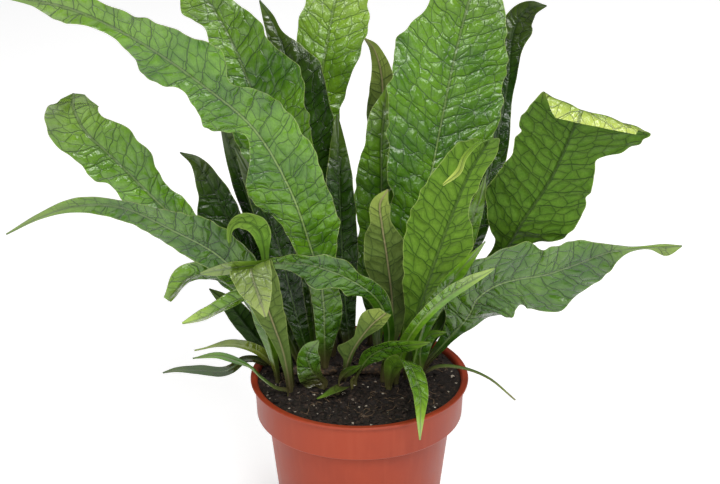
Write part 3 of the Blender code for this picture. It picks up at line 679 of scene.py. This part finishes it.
def make_frond(name, spec, number):
    """A thin blade with a round midrib, ruffled like its solid, with fine waves and quilting."""
    points, tangents, normals, length, effort = midrib(spec)
    total = length[-1]
    rows = int(effort[-1] / ROW_SPACING) + 8
    at = np.interp(np.linspace(0, effort[-1], rows), effort, length / total)
    along = at * total

    def read(values):
        return np.stack([np.interp(along, length, values[:, k]) for k in range(3)], axis=1)

    centre = read(points)
    tangent = unit(read(tangents))
    normal = read(normals)
    normal = unit(normal - (normal * tangent).sum(1, keepdims=True) * tangent)
    side = np.cross(tangent, normal)
    turn = np.radians(smooth_values(spec.get("twist", STRAIGHT), at))[:, None]
    upper = np.cos(turn) * normal + np.sin(turn) * side
    side = np.cross(tangent, upper)
    fold = math.radians(spec["fold"])
    ripples, ripple_height = spec["ruffle"]
    rib = STALK_RADIUS + (RIB_TIP_RADIUS - STALK_RADIUS) * at**0.7

    widest = max(max(spec["left"]), max(spec["right"]))
    half_columns = int(np.clip(widest / COLUMN_SPACING, 5, 22))
    steps = np.arange(half_columns + 1) / half_columns
    rib_share = 3 / half_columns if half_columns > 5 else 0.4
    columns = np.concatenate([-steps[:0:-1], steps])

    offset = np.zeros((rows, len(columns)))
    widths = np.zeros_like(offset)
    for hand, sign in (("left", -1), ("right", 1)):
        width = np.maximum(0.3, smooth_values(spec[hand], at))
        wide = np.minimum(1, width / RUFFLE_FULL_WIDTH)
        nibble = waves(along, number * 7 + sign, NIBBLE_LENGTHS, NIBBLE_HEIGHTS)
        width = width * (1 + nibble * wide)
        rib_edge = np.minimum(1.15 * rib, 0.6 * width)[:, None]
        share = np.abs(columns)[None, :]
        inner = rib_edge * share / rib_share
        outer = rib_edge + (width[:, None] - rib_edge) * (share - rib_share) / (1 - rib_share)
        mine = columns * sign > 0
        offset[:, mine] = (sign * np.where(share <= rib_share, inner, outer))[:, mine]
        widths[:, mine] = width[:, None]
    widths[:, half_columns] = (widths[:, half_columns - 1] + widths[:, half_columns + 1]) / 2

    across = offset / widths
    wide = np.minimum(1, widths / RUFFLE_FULL_WIDTH)
    full = np.minimum(1, widths / QUILT_FULL_WIDTH)
    phase = np.where(across < 0, 0.6, 2.3)
    lift = np.abs(offset) * math.sin(fold)
    lift += ripple_height * wide * across**2 * np.sin(2 * math.pi * ripples * at[:, None] + phase)
    left_wave = waves(along, number * 11 + 1, MARGIN_LENGTHS, MARGIN_HEIGHTS)[:, None]
    right_wave = waves(along, number * 13 + 2, MARGIN_LENGTHS, MARGIN_HEIGHTS)[:, None]
    lift += np.where(across < 0, left_wave, right_wave) * full**2 * np.abs(across) ** 3
    distance = np.abs(offset)
    vein = along[:, None] - VEIN_SLANT * distance - VEIN_CURVE * distance**2
    vein = vein + np.where(across < 0, VEIN_STAGGER, 0)
    bulge = 0.5 - 0.5 * np.cos(2 * math.pi * vein / VEIN_SPACING)
    inside = np.clip(distance / 5, 0, 1) * np.clip((widths - distance) / 4, 0, 1)
    lift += QUILT_HEIGHT * bulge * inside * full

    round_part = np.sqrt(np.maximum(0, rib[:, None] ** 2 - offset**2))
    out = offset * math.cos(fold)
    middle = centre[:, None] + side[:, None] * out[..., None] + upper[:, None] * lift[..., None]
    thin = BLADE_HALF_THICKNESS * (1 - 0.4 * across**2)
    stalk = np.clip((6 - widths) / 4, 0.25, 1)
    top = middle + upper[:, None] * (np.maximum(thin, stalk * round_part))[..., None]
    bottom = middle - upper[:, None] * (np.maximum(thin, round_part))[..., None]
    grid = np.concatenate([top, bottom[:, ::-1]], axis=1)
    ring = grid.shape[1]
    piece = new_piece(name + "_blade", grid.reshape(-1, 3), ring_faces(rows, ring), name)
    leaf = np.stack([np.broadcast_to(along[:, None], offset.shape), offset, widths], axis=2)
    leaf = np.concatenate([leaf, leaf[:, ::-1]], axis=1)
    place = np.zeros_like(leaf)
    place[..., 0] = at[:, None]
    place[..., 1] = number
    place[:, len(columns):, 2] = 1
    for label, values in (("leaf", leaf), ("place", place)):
        layer = piece.data.attributes.new(label, "FLOAT_VECTOR", "POINT")
        layer.data.foreach_set("vector", values.astype(np.float32).ravel())
    coat(piece, 65, OWN_LOOKS.get(name, LEAF_LOOKS[spec["tone"]]))


class Graph:
    """Short calls that add nodes to one material."""

    def __init__(self, name):
        self.material = bpy.data.materials.new(name)
        self.material.use_nodes = True
        self.tree = self.material.node_tree
        self.shader = self.tree.nodes["Principled BSDF"]

    def node(self, kind, inputs=(), **settings):
        made = self.tree.nodes.new(kind)
        for key, value in settings.items():
            setattr(made, key, value)
        for key, value in dict(inputs).items():
            self.put(made.inputs[key], value)
        return made

    def put(self, socket, value):
        if isinstance(value, bpy.types.NodeSocket):
            self.tree.links.new(value, socket)
        elif isinstance(value, tuple) and len(value) == 3 and socket.type == "RGBA":
            socket.default_value = (*value, 1)
        else:
            socket.default_value = value

    def math(self, operation, a, b=0.0, clamp=False):
        settings = {"operation": operation, "use_clamp": clamp}
        return self.node("ShaderNodeMath", {0: a, 1: b}, **settings).outputs[0]

    def times(self, a, b):
        return self.math("MULTIPLY", a, b)

    def plus(self, a, b):
        return self.math("ADD", a, b)

    def minus(self, a, b):
        return self.math("SUBTRACT", a, b)

    def fade(self, value, low, high, start=0.0, end=1.0):
        """start at low and end at high, with an eased step between."""
        inputs = {"Value": value, "From Min": low, "From Max": high, "To Min": start, "To Max": end}
        return self.node("ShaderNodeMapRange", inputs, interpolation_type="SMOOTHSTEP").outputs[0]

    def mix(self, share, a, b):
        inputs = {0: share, 6: a, 7: b}
        return self.node("ShaderNodeMix", inputs, data_type="RGBA").outputs[2]

    def noise(self, vector, scale, detail=2.0, roughness=0.5):
        inputs = {"Vector": vector, "Scale": scale, "Detail": detail, "Roughness": roughness}
        return self.node("ShaderNodeTexNoise", inputs).outputs[0]

    def edges(self, vector, scale, randomness):
        """Distance to the nearest edge of a net of cells."""
        inputs = {"Vector": vector, "Scale": scale, "Randomness": randomness}
        settings = {"voronoi_dimensions": "2D", "feature": "DISTANCE_TO_EDGE"}
        return self.node("ShaderNodeTexVoronoi", inputs, **settings).outputs["Distance"]

    def cells(self, vector, scale):
        inputs = {"Vector": vector, "Scale": scale}
        return self.node("ShaderNodeTexVoronoi", inputs)

    def attribute(self, name):
        return self.split(self.node("ShaderNodeAttribute", attribute_name=name).outputs["Vector"])

    def split(self, vector):
        return self.node("ShaderNodeSeparateXYZ", {0: vector}).outputs

    def join(self, x, y, z):
        return self.node("ShaderNodeCombineXYZ", {0: x, 1: y, 2: z}).outputs[0]

    def place(self):
        return self.node("ShaderNodeTexCoord").outputs["Object"]

    def bump(self, height, distance, strength=1.0):
        inputs = {"Height": height, "Distance": distance, "Strength": strength}
        normal = self.node("ShaderNodeBump", inputs).outputs[0]
        self.put(self.shader.inputs["Normal"], normal)
        self.put(self.shader.inputs["Coat Normal"], normal)

    def set(self, **values):
        for key, value in values.items():
            self.put(self.shader.inputs[key.replace("_", " ")], value)


def leaf_look(name, dark, light, under, vein, rib, tip, gloss, tip_from=0.7, rib_under=None):
    """A glossy net-veined blade: cells between thin dark veins, a pale margin and a thin midrib."""
    g = Graph(name)
    along, across, width = g.attribute("leaf")
    share, number, lower = g.attribute("place")
    off = g.math("ABSOLUTE", across)
    left = g.math("LESS_THAN", across, 0.0)
    leaf = g.join(along, across, g.times(number, FROND_SHIFT))
    wander = g.times(g.minus(g.noise(leaf, 0.09), 0.5), 6.0)
    bend = g.times(off, g.plus(VEIN_SLANT, g.times(off, VEIN_CURVE)))
    level = g.minus(g.plus(along, wander), bend)
    level = g.plus(level, g.times(left, VEIN_STAGGER))
    lateral = g.math("PINGPONG", level, VEIN_SPACING / 2)
    sideways = g.plus(off, g.times(g.plus(left, number), SIDE_SHIFT))
    net = g.join(level, sideways, 0.0)
    cross = g.times(g.edges(net, 1 / 7.0, 0.8), 7.0)
    small = g.times(g.edges(net, 1 / 2.7, 0.9), 2.7)
    bladed = g.fade(width, 2.5, 6.0)
    lateral_vein = g.fade(lateral, 0.10, 0.45, 1.0, 0.0)
    cross_vein = g.times(g.fade(cross, 0.05, 0.34, 1.0, 0.0), 0.8)
    small_vein = g.times(g.fade(small, 0.02, 0.2, 1.0, 0.0), 0.25)
    veins = g.math("MAXIMUM", g.math("MAXIMUM", lateral_vein, cross_vein), small_vein)
    veins = g.times(veins, bladed)
    cell = g.fade(g.math("MINIMUM", lateral, cross), 0.0, 2.8)

    patch = g.fade(g.noise(leaf, 0.035, 3.0, 0.6), 0.35, 0.65)
    mottle = g.noise(leaf, 0.3, 3.0, 0.6)
    grain = g.noise(leaf, 1.3, 3.0, 0.6)
    colour = g.mix(patch, dark, light)
    colour = g.mix(g.times(lower, 0.9), colour, under)
    # Cell centres lighter than the rest of the blade: partly the cells' own paler green, partly a
    # painted highlight on their bulges.
    cell_pale_and_highlight = tuple(min(1.0, 1.35 * c + 0.01) for c in light)
    colour = g.mix(g.times(cell, 0.2), colour, cell_pale_and_highlight)
    colour = g.mix(g.fade(mottle, 0.35, 0.7, 0.0, 0.35), colour, dark)
    colour = g.mix(g.fade(grain, 0.4, 0.75, 0.0, 0.15), colour, dark)
    colour = g.mix(g.fade(share, tip_from, 1.0, 0.0, tip), colour, (0.42, 0.50, 0.10))
    vein_share = g.times(veins, g.plus(0.76, g.times(lower, 0.1)))
    colour = g.mix(vein_share, colour, vein)
    margin = g.fade(g.minus(width, off), 0.1, 0.55, 0.5, 0.0)
    colour = g.mix(g.times(margin, bladed), colour, (0.30, 0.38, 0.10))
    beside = g.fade(g.math("ABSOLUTE", g.minus(off, 0.75)), 0.1, 0.4, 0.6, 0.0)
    colour = g.mix(g.times(beside, bladed), colour, vein)
    ribbed = g.fade(off, 0.25, 0.6, 0.8, 0.0)
    aged = g.fade(share, 0.3, 0.75, 0.0, 0.6)
    rib_colour = g.mix(aged, rib, vein)
    rib_colour = g.mix(g.times(lower, 0.8), rib_colour, rib_under or vein)
    colour = g.mix(ribbed, colour, rib_colour)
    # Painted shade: the lower 85 mm of each frond darkened towards its vein colour, where the middle of
    # the plant lies in shade.
    colour = g.mix(g.fade(along, 8.0, 85.0, 0.55, 0.0), colour, vein)
    # The foot turns dark brown: partly the stalk's own brown, partly painted shade where it stands
    # among the other fronds.
    foot_brown_and_shade = g.fade(g.plus(along, g.times(grain, 6.0)), 5.0, 26.0, 0.85, 0.0)
    colour = g.mix(foot_brown_and_shade, colour, (0.050, 0.036, 0.016))

    rough = g.fade(mottle, 0.3, 0.7, gloss, gloss + 0.1)
    rough = g.math("ADD", rough, g.times(lower, 0.25), clamp=True)
    quilt = g.minus(g.times(cell, 0.6), g.times(veins, 0.25))
    quilt = g.plus(quilt, g.times(mottle, 0.8))
    quilt = g.times(quilt, bladed)
    height = g.plus(quilt, g.times(grain, 0.06))
    turned = g.minus(1.0, g.times(lower, 1.8))
    g.bump(g.times(height, turned), MM, 0.8)
    shine = g.minus(UPPER_SHINE, g.times(lower, SHINE_LOST_BELOW))
    gloss_coat = g.minus(UPPER_COAT, g.times(lower, UPPER_COAT))
    g.set(Base_Color=colour, Roughness=rough, Specular_IOR_Level=shine)
    g.set(Coat_Weight=gloss_coat, Coat_Roughness=0.12)
    return g.material


LEAF_LOOKS = {
    "green": leaf_look(
        "fern_green", dark=(0.034, 0.107, 0.003), light=(0.099, 0.228, 0.008),
        under=(0.062, 0.125, 0.014), vein=(0.008, 0.026, 0.003),
        rib=(0.190, 0.270, 0.075), tip=0.15, gloss=0.15,
    ),
    # Painted shade: a darker copy of the green for fronds that lie in shade behind and between the
    # others.
    "dark_green": leaf_look(
        "fern_dark_green", dark=(0.009, 0.033, 0.002), light=(0.026, 0.073, 0.003),
        under=(0.028, 0.065, 0.007), vein=(0.005, 0.016, 0.002),
        rib=(0.070, 0.130, 0.030), tip=0.1, gloss=0.16,
    ),
    "bright_green": leaf_look(
        "fern_bright_green", dark=(0.065, 0.163, 0.006), light=(0.142, 0.284, 0.012),
        under=(0.120, 0.220, 0.020), vein=(0.025, 0.065, 0.004),
        rib=(0.220, 0.320, 0.080), tip=0.4, gloss=0.16,
    ),
    "grey_green": leaf_look(
        "fern_grey_green", dark=(0.060, 0.107, 0.015), light=(0.120, 0.172, 0.030),
        under=(0.095, 0.145, 0.030), vein=(0.030, 0.052, 0.012),
        rib=(0.25, 0.23, 0.12), tip=0.35, gloss=0.24, rib_under=(0.25, 0.20, 0.11),
    ),
    "yellow_green": leaf_look(
        "fern_yellow_green", dark=(0.095, 0.146, 0.009), light=(0.198, 0.258, 0.015),
        under=(0.150, 0.200, 0.025), vein=(0.060, 0.095, 0.010),
        rib=(0.30, 0.37, 0.10), tip=0.4, gloss=0.2, rib_under=(0.26, 0.30, 0.08),
    ),
}
MID_GREEN = leaf_look(
    "fern_mid_green", dark=(0.021, 0.073, 0.003), light=(0.065, 0.155, 0.006),
    under=(0.050, 0.105, 0.011), vein=(0.007, 0.022, 0.003),
    rib=(0.160, 0.240, 0.070), tip=0.25, gloss=0.15,
)
# Fronds that differ from others of their tone, by a pale folded tip or a darker blade
OWN_LOOKS = {
    "frond_broad_right": leaf_look(
        "fern_broad", dark=(0.026, 0.086, 0.003), light=(0.095, 0.215, 0.010),
        under=(0.052, 0.105, 0.010), vein=(0.008, 0.024, 0.003),
        rib=(0.190, 0.270, 0.075), tip=0.85, gloss=0.18, tip_from=0.93,
    ),
    "frond_far_left": MID_GREEN,
    "frond_low_right": MID_GREEN,
    "frond_front_arch": MID_GREEN,
    "frond_hooded_left": leaf_look(
        "fern_hooded", dark=(0.052, 0.138, 0.006), light=(0.120, 0.249, 0.012),
        under=(0.080, 0.165, 0.020), vein=(0.018, 0.050, 0.004),
        rib=(0.220, 0.320, 0.080), tip=0.15, gloss=0.18,
    ),
    "frond_curled_centre": leaf_look(
        "fern_curled", dark=(0.069, 0.163, 0.007), light=(0.146, 0.275, 0.017),
        under=(0.072, 0.140, 0.014), vein=(0.014, 0.042, 0.004),
        rib=(0.220, 0.320, 0.080), tip=1.0, gloss=0.2, tip_from=0.86,
    ),
}


def plastic_look():
    """Moulded terracotta-coloured plastic: satin, faintly streaked, a little dusty towards its top."""
    g = Graph("pot_terracotta_plastic")
    spot = g.place()
    x, y, z = g.split(spot)
    cloud = g.noise(spot, 22.0, 4.0, 0.6)
    tall = g.join(g.times(x, 260.0), g.times(y, 260.0), g.times(z, 9.0))
    streak = g.noise(tall, 1.0, 3.0)
    speck = g.noise(spot, 2600.0, 2.0, 0.7)
    colour = g.mix(g.fade(cloud, 0.3, 0.7), (0.225, 0.029, 0.010), (0.262, 0.036, 0.012))
    colour = g.mix(g.fade(streak, 0.45, 0.75, 0.0, 0.2), colour, (0.330, 0.066, 0.030))
    dusty = g.times(g.fade(speck, 0.62, 0.72), g.fade(z, 0.080, 0.1, 0.1, 0.55))
    colour = g.mix(dusty, colour, (0.16, 0.07, 0.04))
    g.bump(g.plus(g.times(speck, 0.5), g.times(streak, 0.6)), 0.06 * MM, 0.7)
    rough = g.fade(g.plus(cloud, g.times(streak, 0.4)), 0.4, 1.0, 0.36, 0.5)
    g.set(Base_Color=colour, Roughness=rough, Specular_IOR_Level=0.22)
    return g.material


def peat_look():
    """Damp dark peat: brown-black crumbs, browner on the drier tops of the lumps and darker in their
    hollows, partly with painted shade, with pale specks.
    """
    g = Graph("peat_dark")
    spot = g.place()
    lumps = g.noise(spot, 380.0, 5.0, 0.7)
    grain = g.cells(spot, 900.0)
    # Partly painted shade: the same lumps raise the bump, so the peat is darkest in the hollows and
    # browner on the tops, where it is also drier.
    shade = g.fade(lumps, 0.3, 0.75)
    colour = g.mix(shade, (0.0030, 0.0020, 0.0016), (0.022, 0.013, 0.008))
    tone = g.node("ShaderNodeSeparateColor", {0: grain.outputs["Color"]}).outputs[0]
    colour = g.mix(g.fade(tone, 0.80, 0.95, 0.0, 0.6), colour, (0.055, 0.032, 0.019))
    colour = g.mix(g.fade(tone, 0.985, 0.995, 0.0, 0.8), colour, (0.38, 0.33, 0.26))
    height = g.plus(g.times(lumps, 1.4), g.times(grain.outputs["Distance"], 0.9))
    g.bump(height, 0.6 * MM, 0.9)
    g.set(Base_Color=colour, Roughness=g.fade(lumps, 0.3, 0.7, 0.62, 0.95), Specular_IOR_Level=0.35)
    return g.material


def speck_look(name, dark, light, rough):
    g = Graph(name)
    spot = g.place()
    grain = g.noise(spot, 900.0, 4.0, 0.65)
    g.bump(grain, 0.3 * MM, 0.8)
    g.set(Base_Color=g.mix(g.fade(grain, 0.3, 0.7), dark, light), Roughness=rough)
    return g.material


def rhizome_look():
    """A scaly, fibrous creeping stem: brown scales over a greener skin."""
    g = Graph("rhizome_scaly")
    spot = g.place()
    scales = g.cells(spot, 620.0)
    grain = g.noise(spot, 500.0, 4.0, 0.7)
    worn = g.fade(scales.outputs["Distance"], 0.1, 0.7)
    colour = g.mix(worn, (0.110, 0.062, 0.028), (0.028, 0.017, 0.010))
    colour = g.mix(g.fade(grain, 0.55, 0.8, 0.0, 0.5), colour, (0.090, 0.110, 0.040))
    g.bump(g.minus(grain, g.times(scales.outputs["Distance"], 0.9)), 0.5 * MM, 0.9)
    g.set(Base_Color=colour, Roughness=0.85)
    return g.material


POT_LOOK = plastic_look()
PEAT_LOOK = peat_look()
CHIP_LOOK = speck_look("pale_chips", (0.30, 0.25, 0.18), (0.62, 0.57, 0.48), 0.85)
FIBRE_LOOK = speck_look("root_fibres", (0.045, 0.026, 0.014), (0.150, 0.095, 0.050), 0.9)
RHIZOME_LOOK = rhizome_look()


def rounded(profile, radius, parts=4):
    """The profile with each inner corner cut to a small arc, no longer than a third of its sides."""
    points = [np.array(p, float) for p in profile]
    out = [points[0]]
    for before, corner, after in zip(points, points[1:], points[2:]):
        reach = min(radius, np.linalg.norm(before - corner) / 3, np.linalg.norm(after - corner) / 3)
        start = corner + unit(before - corner) * reach
        end = corner + unit(after - corner) * reach
        for i in range(parts + 1):
            t = i / parts
            out.append((1 - t) ** 2 * start + 2 * t * (1 - t) * corner + t**2 * end)
    out.append(points[-1])
    return out


def make_pot():
    """The nursery pot: a turned wall with softened corners and drain holes through its floor."""
    ledge = POT_HEIGHT - COLLAR_HEIGHT
    profile = [
        (0, WALL), (BASE_RADIUS - WALL, WALL), (BODY_RADIUS_TOP - WALL, ledge - 1.0),
        (COLLAR_RADIUS_BOTTOM - WALL, ledge + 1.2), (COLLAR_RADIUS_TOP - WALL, POT_HEIGHT - 1.2),
        (COLLAR_RADIUS_TOP - WALL + 0.9, POT_HEIGHT), (LIP_RADIUS - 0.5, POT_HEIGHT),
        (LIP_RADIUS, POT_HEIGHT - 0.6), (LIP_RADIUS - 0.1, POT_HEIGHT - LIP_HEIGHT),
        (COLLAR_RADIUS_TOP, POT_HEIGHT - LIP_HEIGHT - 0.5), (COLLAR_RADIUS_BOTTOM, ledge + 0.5),
        (COLLAR_RADIUS_BOTTOM - 0.7, ledge - 0.2), (BODY_RADIUS_TOP + 0.4, ledge - 0.9),
        (BODY_RADIUS_TOP - 0.1, ledge - 2.6), (BASE_RADIUS, 1.2), (BASE_RADIUS - 1.2, 0), (0, 0),
    ]
    profile = rounded(profile, 0.9)
    steps = 192
    rows = len(profile) - 2
    points = [(0, 0, WALL), (0, 0, 0)]
    for radius, height in profile[1:-1]:
        for k in range(steps):
            points.append((*circle_point(radius, 2 * math.pi * k / steps), height))
    faces = band_faces(2, rows - 1, steps)
    for k in range(steps):
        n = (k + 1) % steps
        faces.append((0, 2 + k, 2 + n))
        faces.append((1, 2 + (rows - 1) * steps + n, 2 + (rows - 1) * steps + k))
    pot = new_piece("pot_shell", points, faces, "pot")
    cutters = []
    for i in range(DRAIN_HOLES):
        angle = 2 * math.pi * (i + 0.5) / DRAIN_HOLES
        centre = DRAIN_RING_RADIUS * MM * Vector((math.cos(angle), math.sin(angle), 0))
        bpy.ops.mesh.primitive_cylinder_add(
            vertices=32, radius=DRAIN_HOLE_RADIUS * MM, depth=4 * WALL * MM,
            location=(centre.x, centre.y, WALL * MM / 2),
        )
        cutter = bpy.context.object
        cutters.append(cutter)
        cut = pot.modifiers.new("Drain", "BOOLEAN")
        cut.operation = "DIFFERENCE"
        cut.solver = "EXACT"
        cut.object = cutter
    bpy.context.view_layer.update()
    graph = bpy.context.evaluated_depsgraph_get()
    mesh = bpy.data.meshes.new_from_object(pot.evaluated_get(graph))
    pot.modifiers.clear()
    pot.data = mesh
    for cutter in cutters:
        bpy.data.objects.remove(cutter)
    smooth(mesh, 35)
    mesh.materials.clear()
    mesh.materials.append(POT_LOOK)


def peat_relief(x, y):
    """Height of the peat's lumpy surface in millimetres."""
    radius = math.hypot(x, y)
    edge = min(1.0, (PEAT_RADIUS - radius) / 4)
    lumps = 1.5 * noise.noise(Vector((x / 9, y / 9, 0.3)))
    lumps += 0.9 * noise.noise(Vector((x / 3.4, y / 3.4, 7.1)))
    lumps += 0.6 * abs(noise.noise(Vector((x / 1.5, y / 1.5, 3.9))))
    return peat_height(radius) + PEAT_LIFT + lumps * (0.45 + 0.55 * edge)


def make_peat_surface():
    """A fine lumpy skin over the solid peat, clipped to the pot."""
    edge = PEAT_RADIUS - 0.25
    spokes, rings = 300, 62
    points = [(0, 0, peat_relief(0, 0))]
    for i in range(1, rings + 1):
        radius = edge * i / rings
        for k in range(spokes):
            angle = 2 * math.pi * (k + 0.5 * (i % 2)) / spokes
            x, y = circle_point(radius, angle)
            points.append((x, y, peat_relief(x, y)))
    for k in range(spokes):
        x, y, _ = points[1 + (rings - 1) * spokes + k]
        points.append((x * 0.985, y * 0.985, PEAT_EDGE_HEIGHT - 1.2))
    faces = [(0, 1 + k, 1 + (k + 1) % spokes) for k in range(spokes)]
    faces += band_faces(1, rings, spokes)
    faces.append(tuple(1 + rings * spokes + k for k in range(spokes))[::-1])
    skin = new_piece("peat_surface", points, faces)
    coat(skin, 50, PEAT_LOOK)


def scattered(name, count, sizes, look, seed, flat=0.7):
    """Many small irregular bits pressed into the peat, joined into one piece."""
    rng = random.Random(seed)
    ball = bmesh.new()
    bmesh.ops.create_icosphere(ball, subdivisions=1, radius=1)
    shape = [v.co.copy() for v in ball.verts]
    skin = [tuple(v.index for v in f.verts) for f in ball.faces]
    ball.free()
    points = []
    faces = []
    for _ in range(count):
        radius = (PEAT_RADIUS - 1.5) * SCATTER_REACH * math.sqrt(rng.random())
        angle = rng.uniform(0, 2 * math.pi)
        x, y = circle_point(radius, angle)
        size = sizes[0] + (sizes[1] - sizes[0]) * rng.random() ** 2.5
        stretch = (rng.uniform(0.6, 1.4), rng.uniform(0.6, 1.2), rng.uniform(0.5, 1.0) * flat)
        stretch = Vector(stretch)
        spin = rng.uniform(0, ROUGH_TURN)
        cos, sin = math.cos(spin), math.sin(spin)
        base = Vector((x, y, peat_relief(x, y) + size * 0.2))
        start = len(points)
        for v in shape:
            bump = 1 + 0.45 * noise.noise(v * 1.3 + base)
            p = Vector((v.x * stretch.x, v.y * stretch.y, v.z * stretch.z)) * size * bump
            turned = Vector((p.x * cos - p.y * sin, p.x * sin + p.y * cos, p.z))
            points.append(base + turned)
        faces += [tuple(start + i for i in f) for f in skin]
    piece = new_piece(name, [tuple(p) for p in points], faces)
    coat(piece, 40, look)


def make_fibres(count, seed):
    """Thin roots and peat fibres that curl over the surface, joined into one piece."""
    rng = random.Random(seed)
    points = []
    faces = []
    for _ in range(count):
        radius = FIBRE_REACH * math.sqrt(rng.random())
        angle = rng.uniform(0, ROUGH_TURN)
        spot = np.array(circle_point(radius, angle))
        heading = rng.uniform(0, ROUGH_TURN)
        curl = rng.uniform(-0.35, 0.35)
        thick = rng.uniform(0.12, 0.3)
        steps = rng.randint(5, 11)
        rows = []
        for i in range(steps):
            rise = 0.25 + 0.9 * math.sin(math.pi * i / (steps - 1)) * rng.uniform(0.3, 1)
            if np.hypot(*spot) > FIBRE_LIMIT:
                break
            rows.append((*spot, peat_relief(*spot) + rise, heading))
            heading += curl + rng.uniform(-0.25, 0.25)
            spot = spot + FIBRE_STEP * np.array([math.cos(heading), math.sin(heading)])
        if len(rows) < 4:
            continue
        start = len(points)
        for i, (x, y, z, facing) in enumerate(rows):
            girth = thick * (1 - 0.6 * i / len(rows))
            side = (-math.sin(facing), math.cos(facing))
            for a in range(5):
                reach, up = circle_point(girth, 2 * math.pi * a / 5)
                points.append((x + side[0] * reach, y + side[1] * reach, z + up))
        faces += [tuple(start + i for i in f) for f in ring_faces(len(rows), 5)]
    piece = new_piece("peat_fibres", points, faces)
    coat(piece, 60, FIBRE_LOOK)


def make_rhizome(name):
    """A knobbly creeping stem with ring scars, as long and thick as its solid."""
    start, end, radius = RHIZOMES[name]
    level = peat_height(0) + GAP + radius
    start, end = np.array([*start, level], float), np.array([*end, level], float)
    length = np.linalg.norm(end - start)
    along = (end - start) / length
    side = np.cross(along, (0, 0, 1))
    rows, columns = int(length / 0.5), 28
    points = []
    for i in range(rows):
        share = i / (rows - 1)
        swell = math.sqrt(max(0.02, 1 - (2 * share - 1) ** 4)) * (0.93 + 0.05 * math.sin(17 * share))
        for k in range(columns):
            angle = 2 * math.pi * k / columns
            spot = Vector((share * length / 2, 3 * math.cos(angle), 3 * math.sin(angle)))
            reach = radius * swell * (1 + 0.12 * noise.noise(spot))
            p = start + along * length * share + side * reach * math.cos(angle)
            points.append(p + np.array([0, 0, reach * math.sin(angle)]))
    piece = new_piece(name + "_skin", points, ring_faces(rows, columns), name)
    coat(piece, 60, RHIZOME_LOOK)


def make_floor():
    """A wide pale floor with a faint glow of its own, so that it stays white round the plant."""
    size = FLOOR_HALF_SIZE
    mesh = bpy.data.meshes.new("floor")
    corners = [(-size, -size, 0), (size, -size, 0), (size, size, 0), (-size, size, 0)]
    mesh.from_pydata(corners, [], [(0, 1, 2, 3)])
    floor = add_object("floor", mesh)
    g = Graph("floor_pale")
    soft = g.noise(g.place(), 3.0, 2.0)
    white = g.mix(soft, (0.93, 0.93, 0.93), (0.95, 0.95, 0.95))
    g.set(Base_Color=white, Roughness=0.9, Specular_IOR_Level=0.1)
    g.set(Emission_Color=white, Emission_Strength=FLOOR_GLOW)
    mesh.materials.append(g.material)


def add_light(name, place, size, watts):
    """A soft rectangular lamp at place, turned to the middle of the plant."""
    data = bpy.data.lights.new(name, "AREA")
    data.shape = "RECTANGLE"
    data.size, data.size_y = size
    data.energy = watts
    lamp = add_object(name, data)
    lamp.location = place
    lamp.rotation_euler = (Vector(LIT_POINT) - Vector(place)).to_track_quat("-Z", "Y").to_euler()


def make_lights():
    world = bpy.data.worlds.new("studio")
    bpy.context.scene.world = world
    world.use_nodes = True
    background = world.node_tree.nodes["Background"].inputs
    background["Color"].default_value = (1, 1, 1, 1)
    background["Strength"].default_value = WORLD_STRENGTH
    add_light("softbox_left", (-0.9, -1.15, 0.95), (0.5, 0.5), 12)
    add_light("softbox_front", (0.2, -1.0, 1.3), (0.6, 0.45), 13)
    add_light("softbox_right", (0.85, -1.15, 0.85), (0.45, 0.45), 8)
    add_light("softbox_top", (0.7, 0.1, 1.5), (0.6, 0.6), 9)


def make_camera():
    """Looks down at the plant from the front, aimed a little above the rim."""
    data = bpy.data.cameras.new("camera")
    data.lens = CAMERA_LENS
    data.sensor_width = CAMERA_SENSOR
    camera = add_object("camera", data)
    rim = POT_HEIGHT * MM
    camera.location = (
        CAMERA_SIDE * MM,
        -CAMERA_DISTANCE * math.cos(CAMERA_ELEVATION),
        rim + CAMERA_DISTANCE * math.sin(CAMERA_ELEVATION),
    )
    camera.rotation_euler = (math.pi / 2 - CAMERA_PITCH, 0, 0)
    bpy.context.scene.camera = camera


make_camera()
make_pot()
make_peat_surface()
scattered("peat_crumbs", 1700, (0.4, 2.4), PEAT_LOOK, SEED)
scattered("peat_chips", 36, (0.3, 0.9), CHIP_LOOK, SEED + 1, flat=0.5)
make_fibres(110, SEED + 2)
for node in RHIZOMES:
    make_rhizome(node)
for order, (node, frond) in enumerate(FRONDS.items()):
    make_frond(node, frond, order)
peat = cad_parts["peat"]
peat.data.materials.clear()
peat.data.materials.append(PEAT_LOOK)
make_floor()
make_lights()
bpy.context.scene.view_settings.view_transform = "Standard"
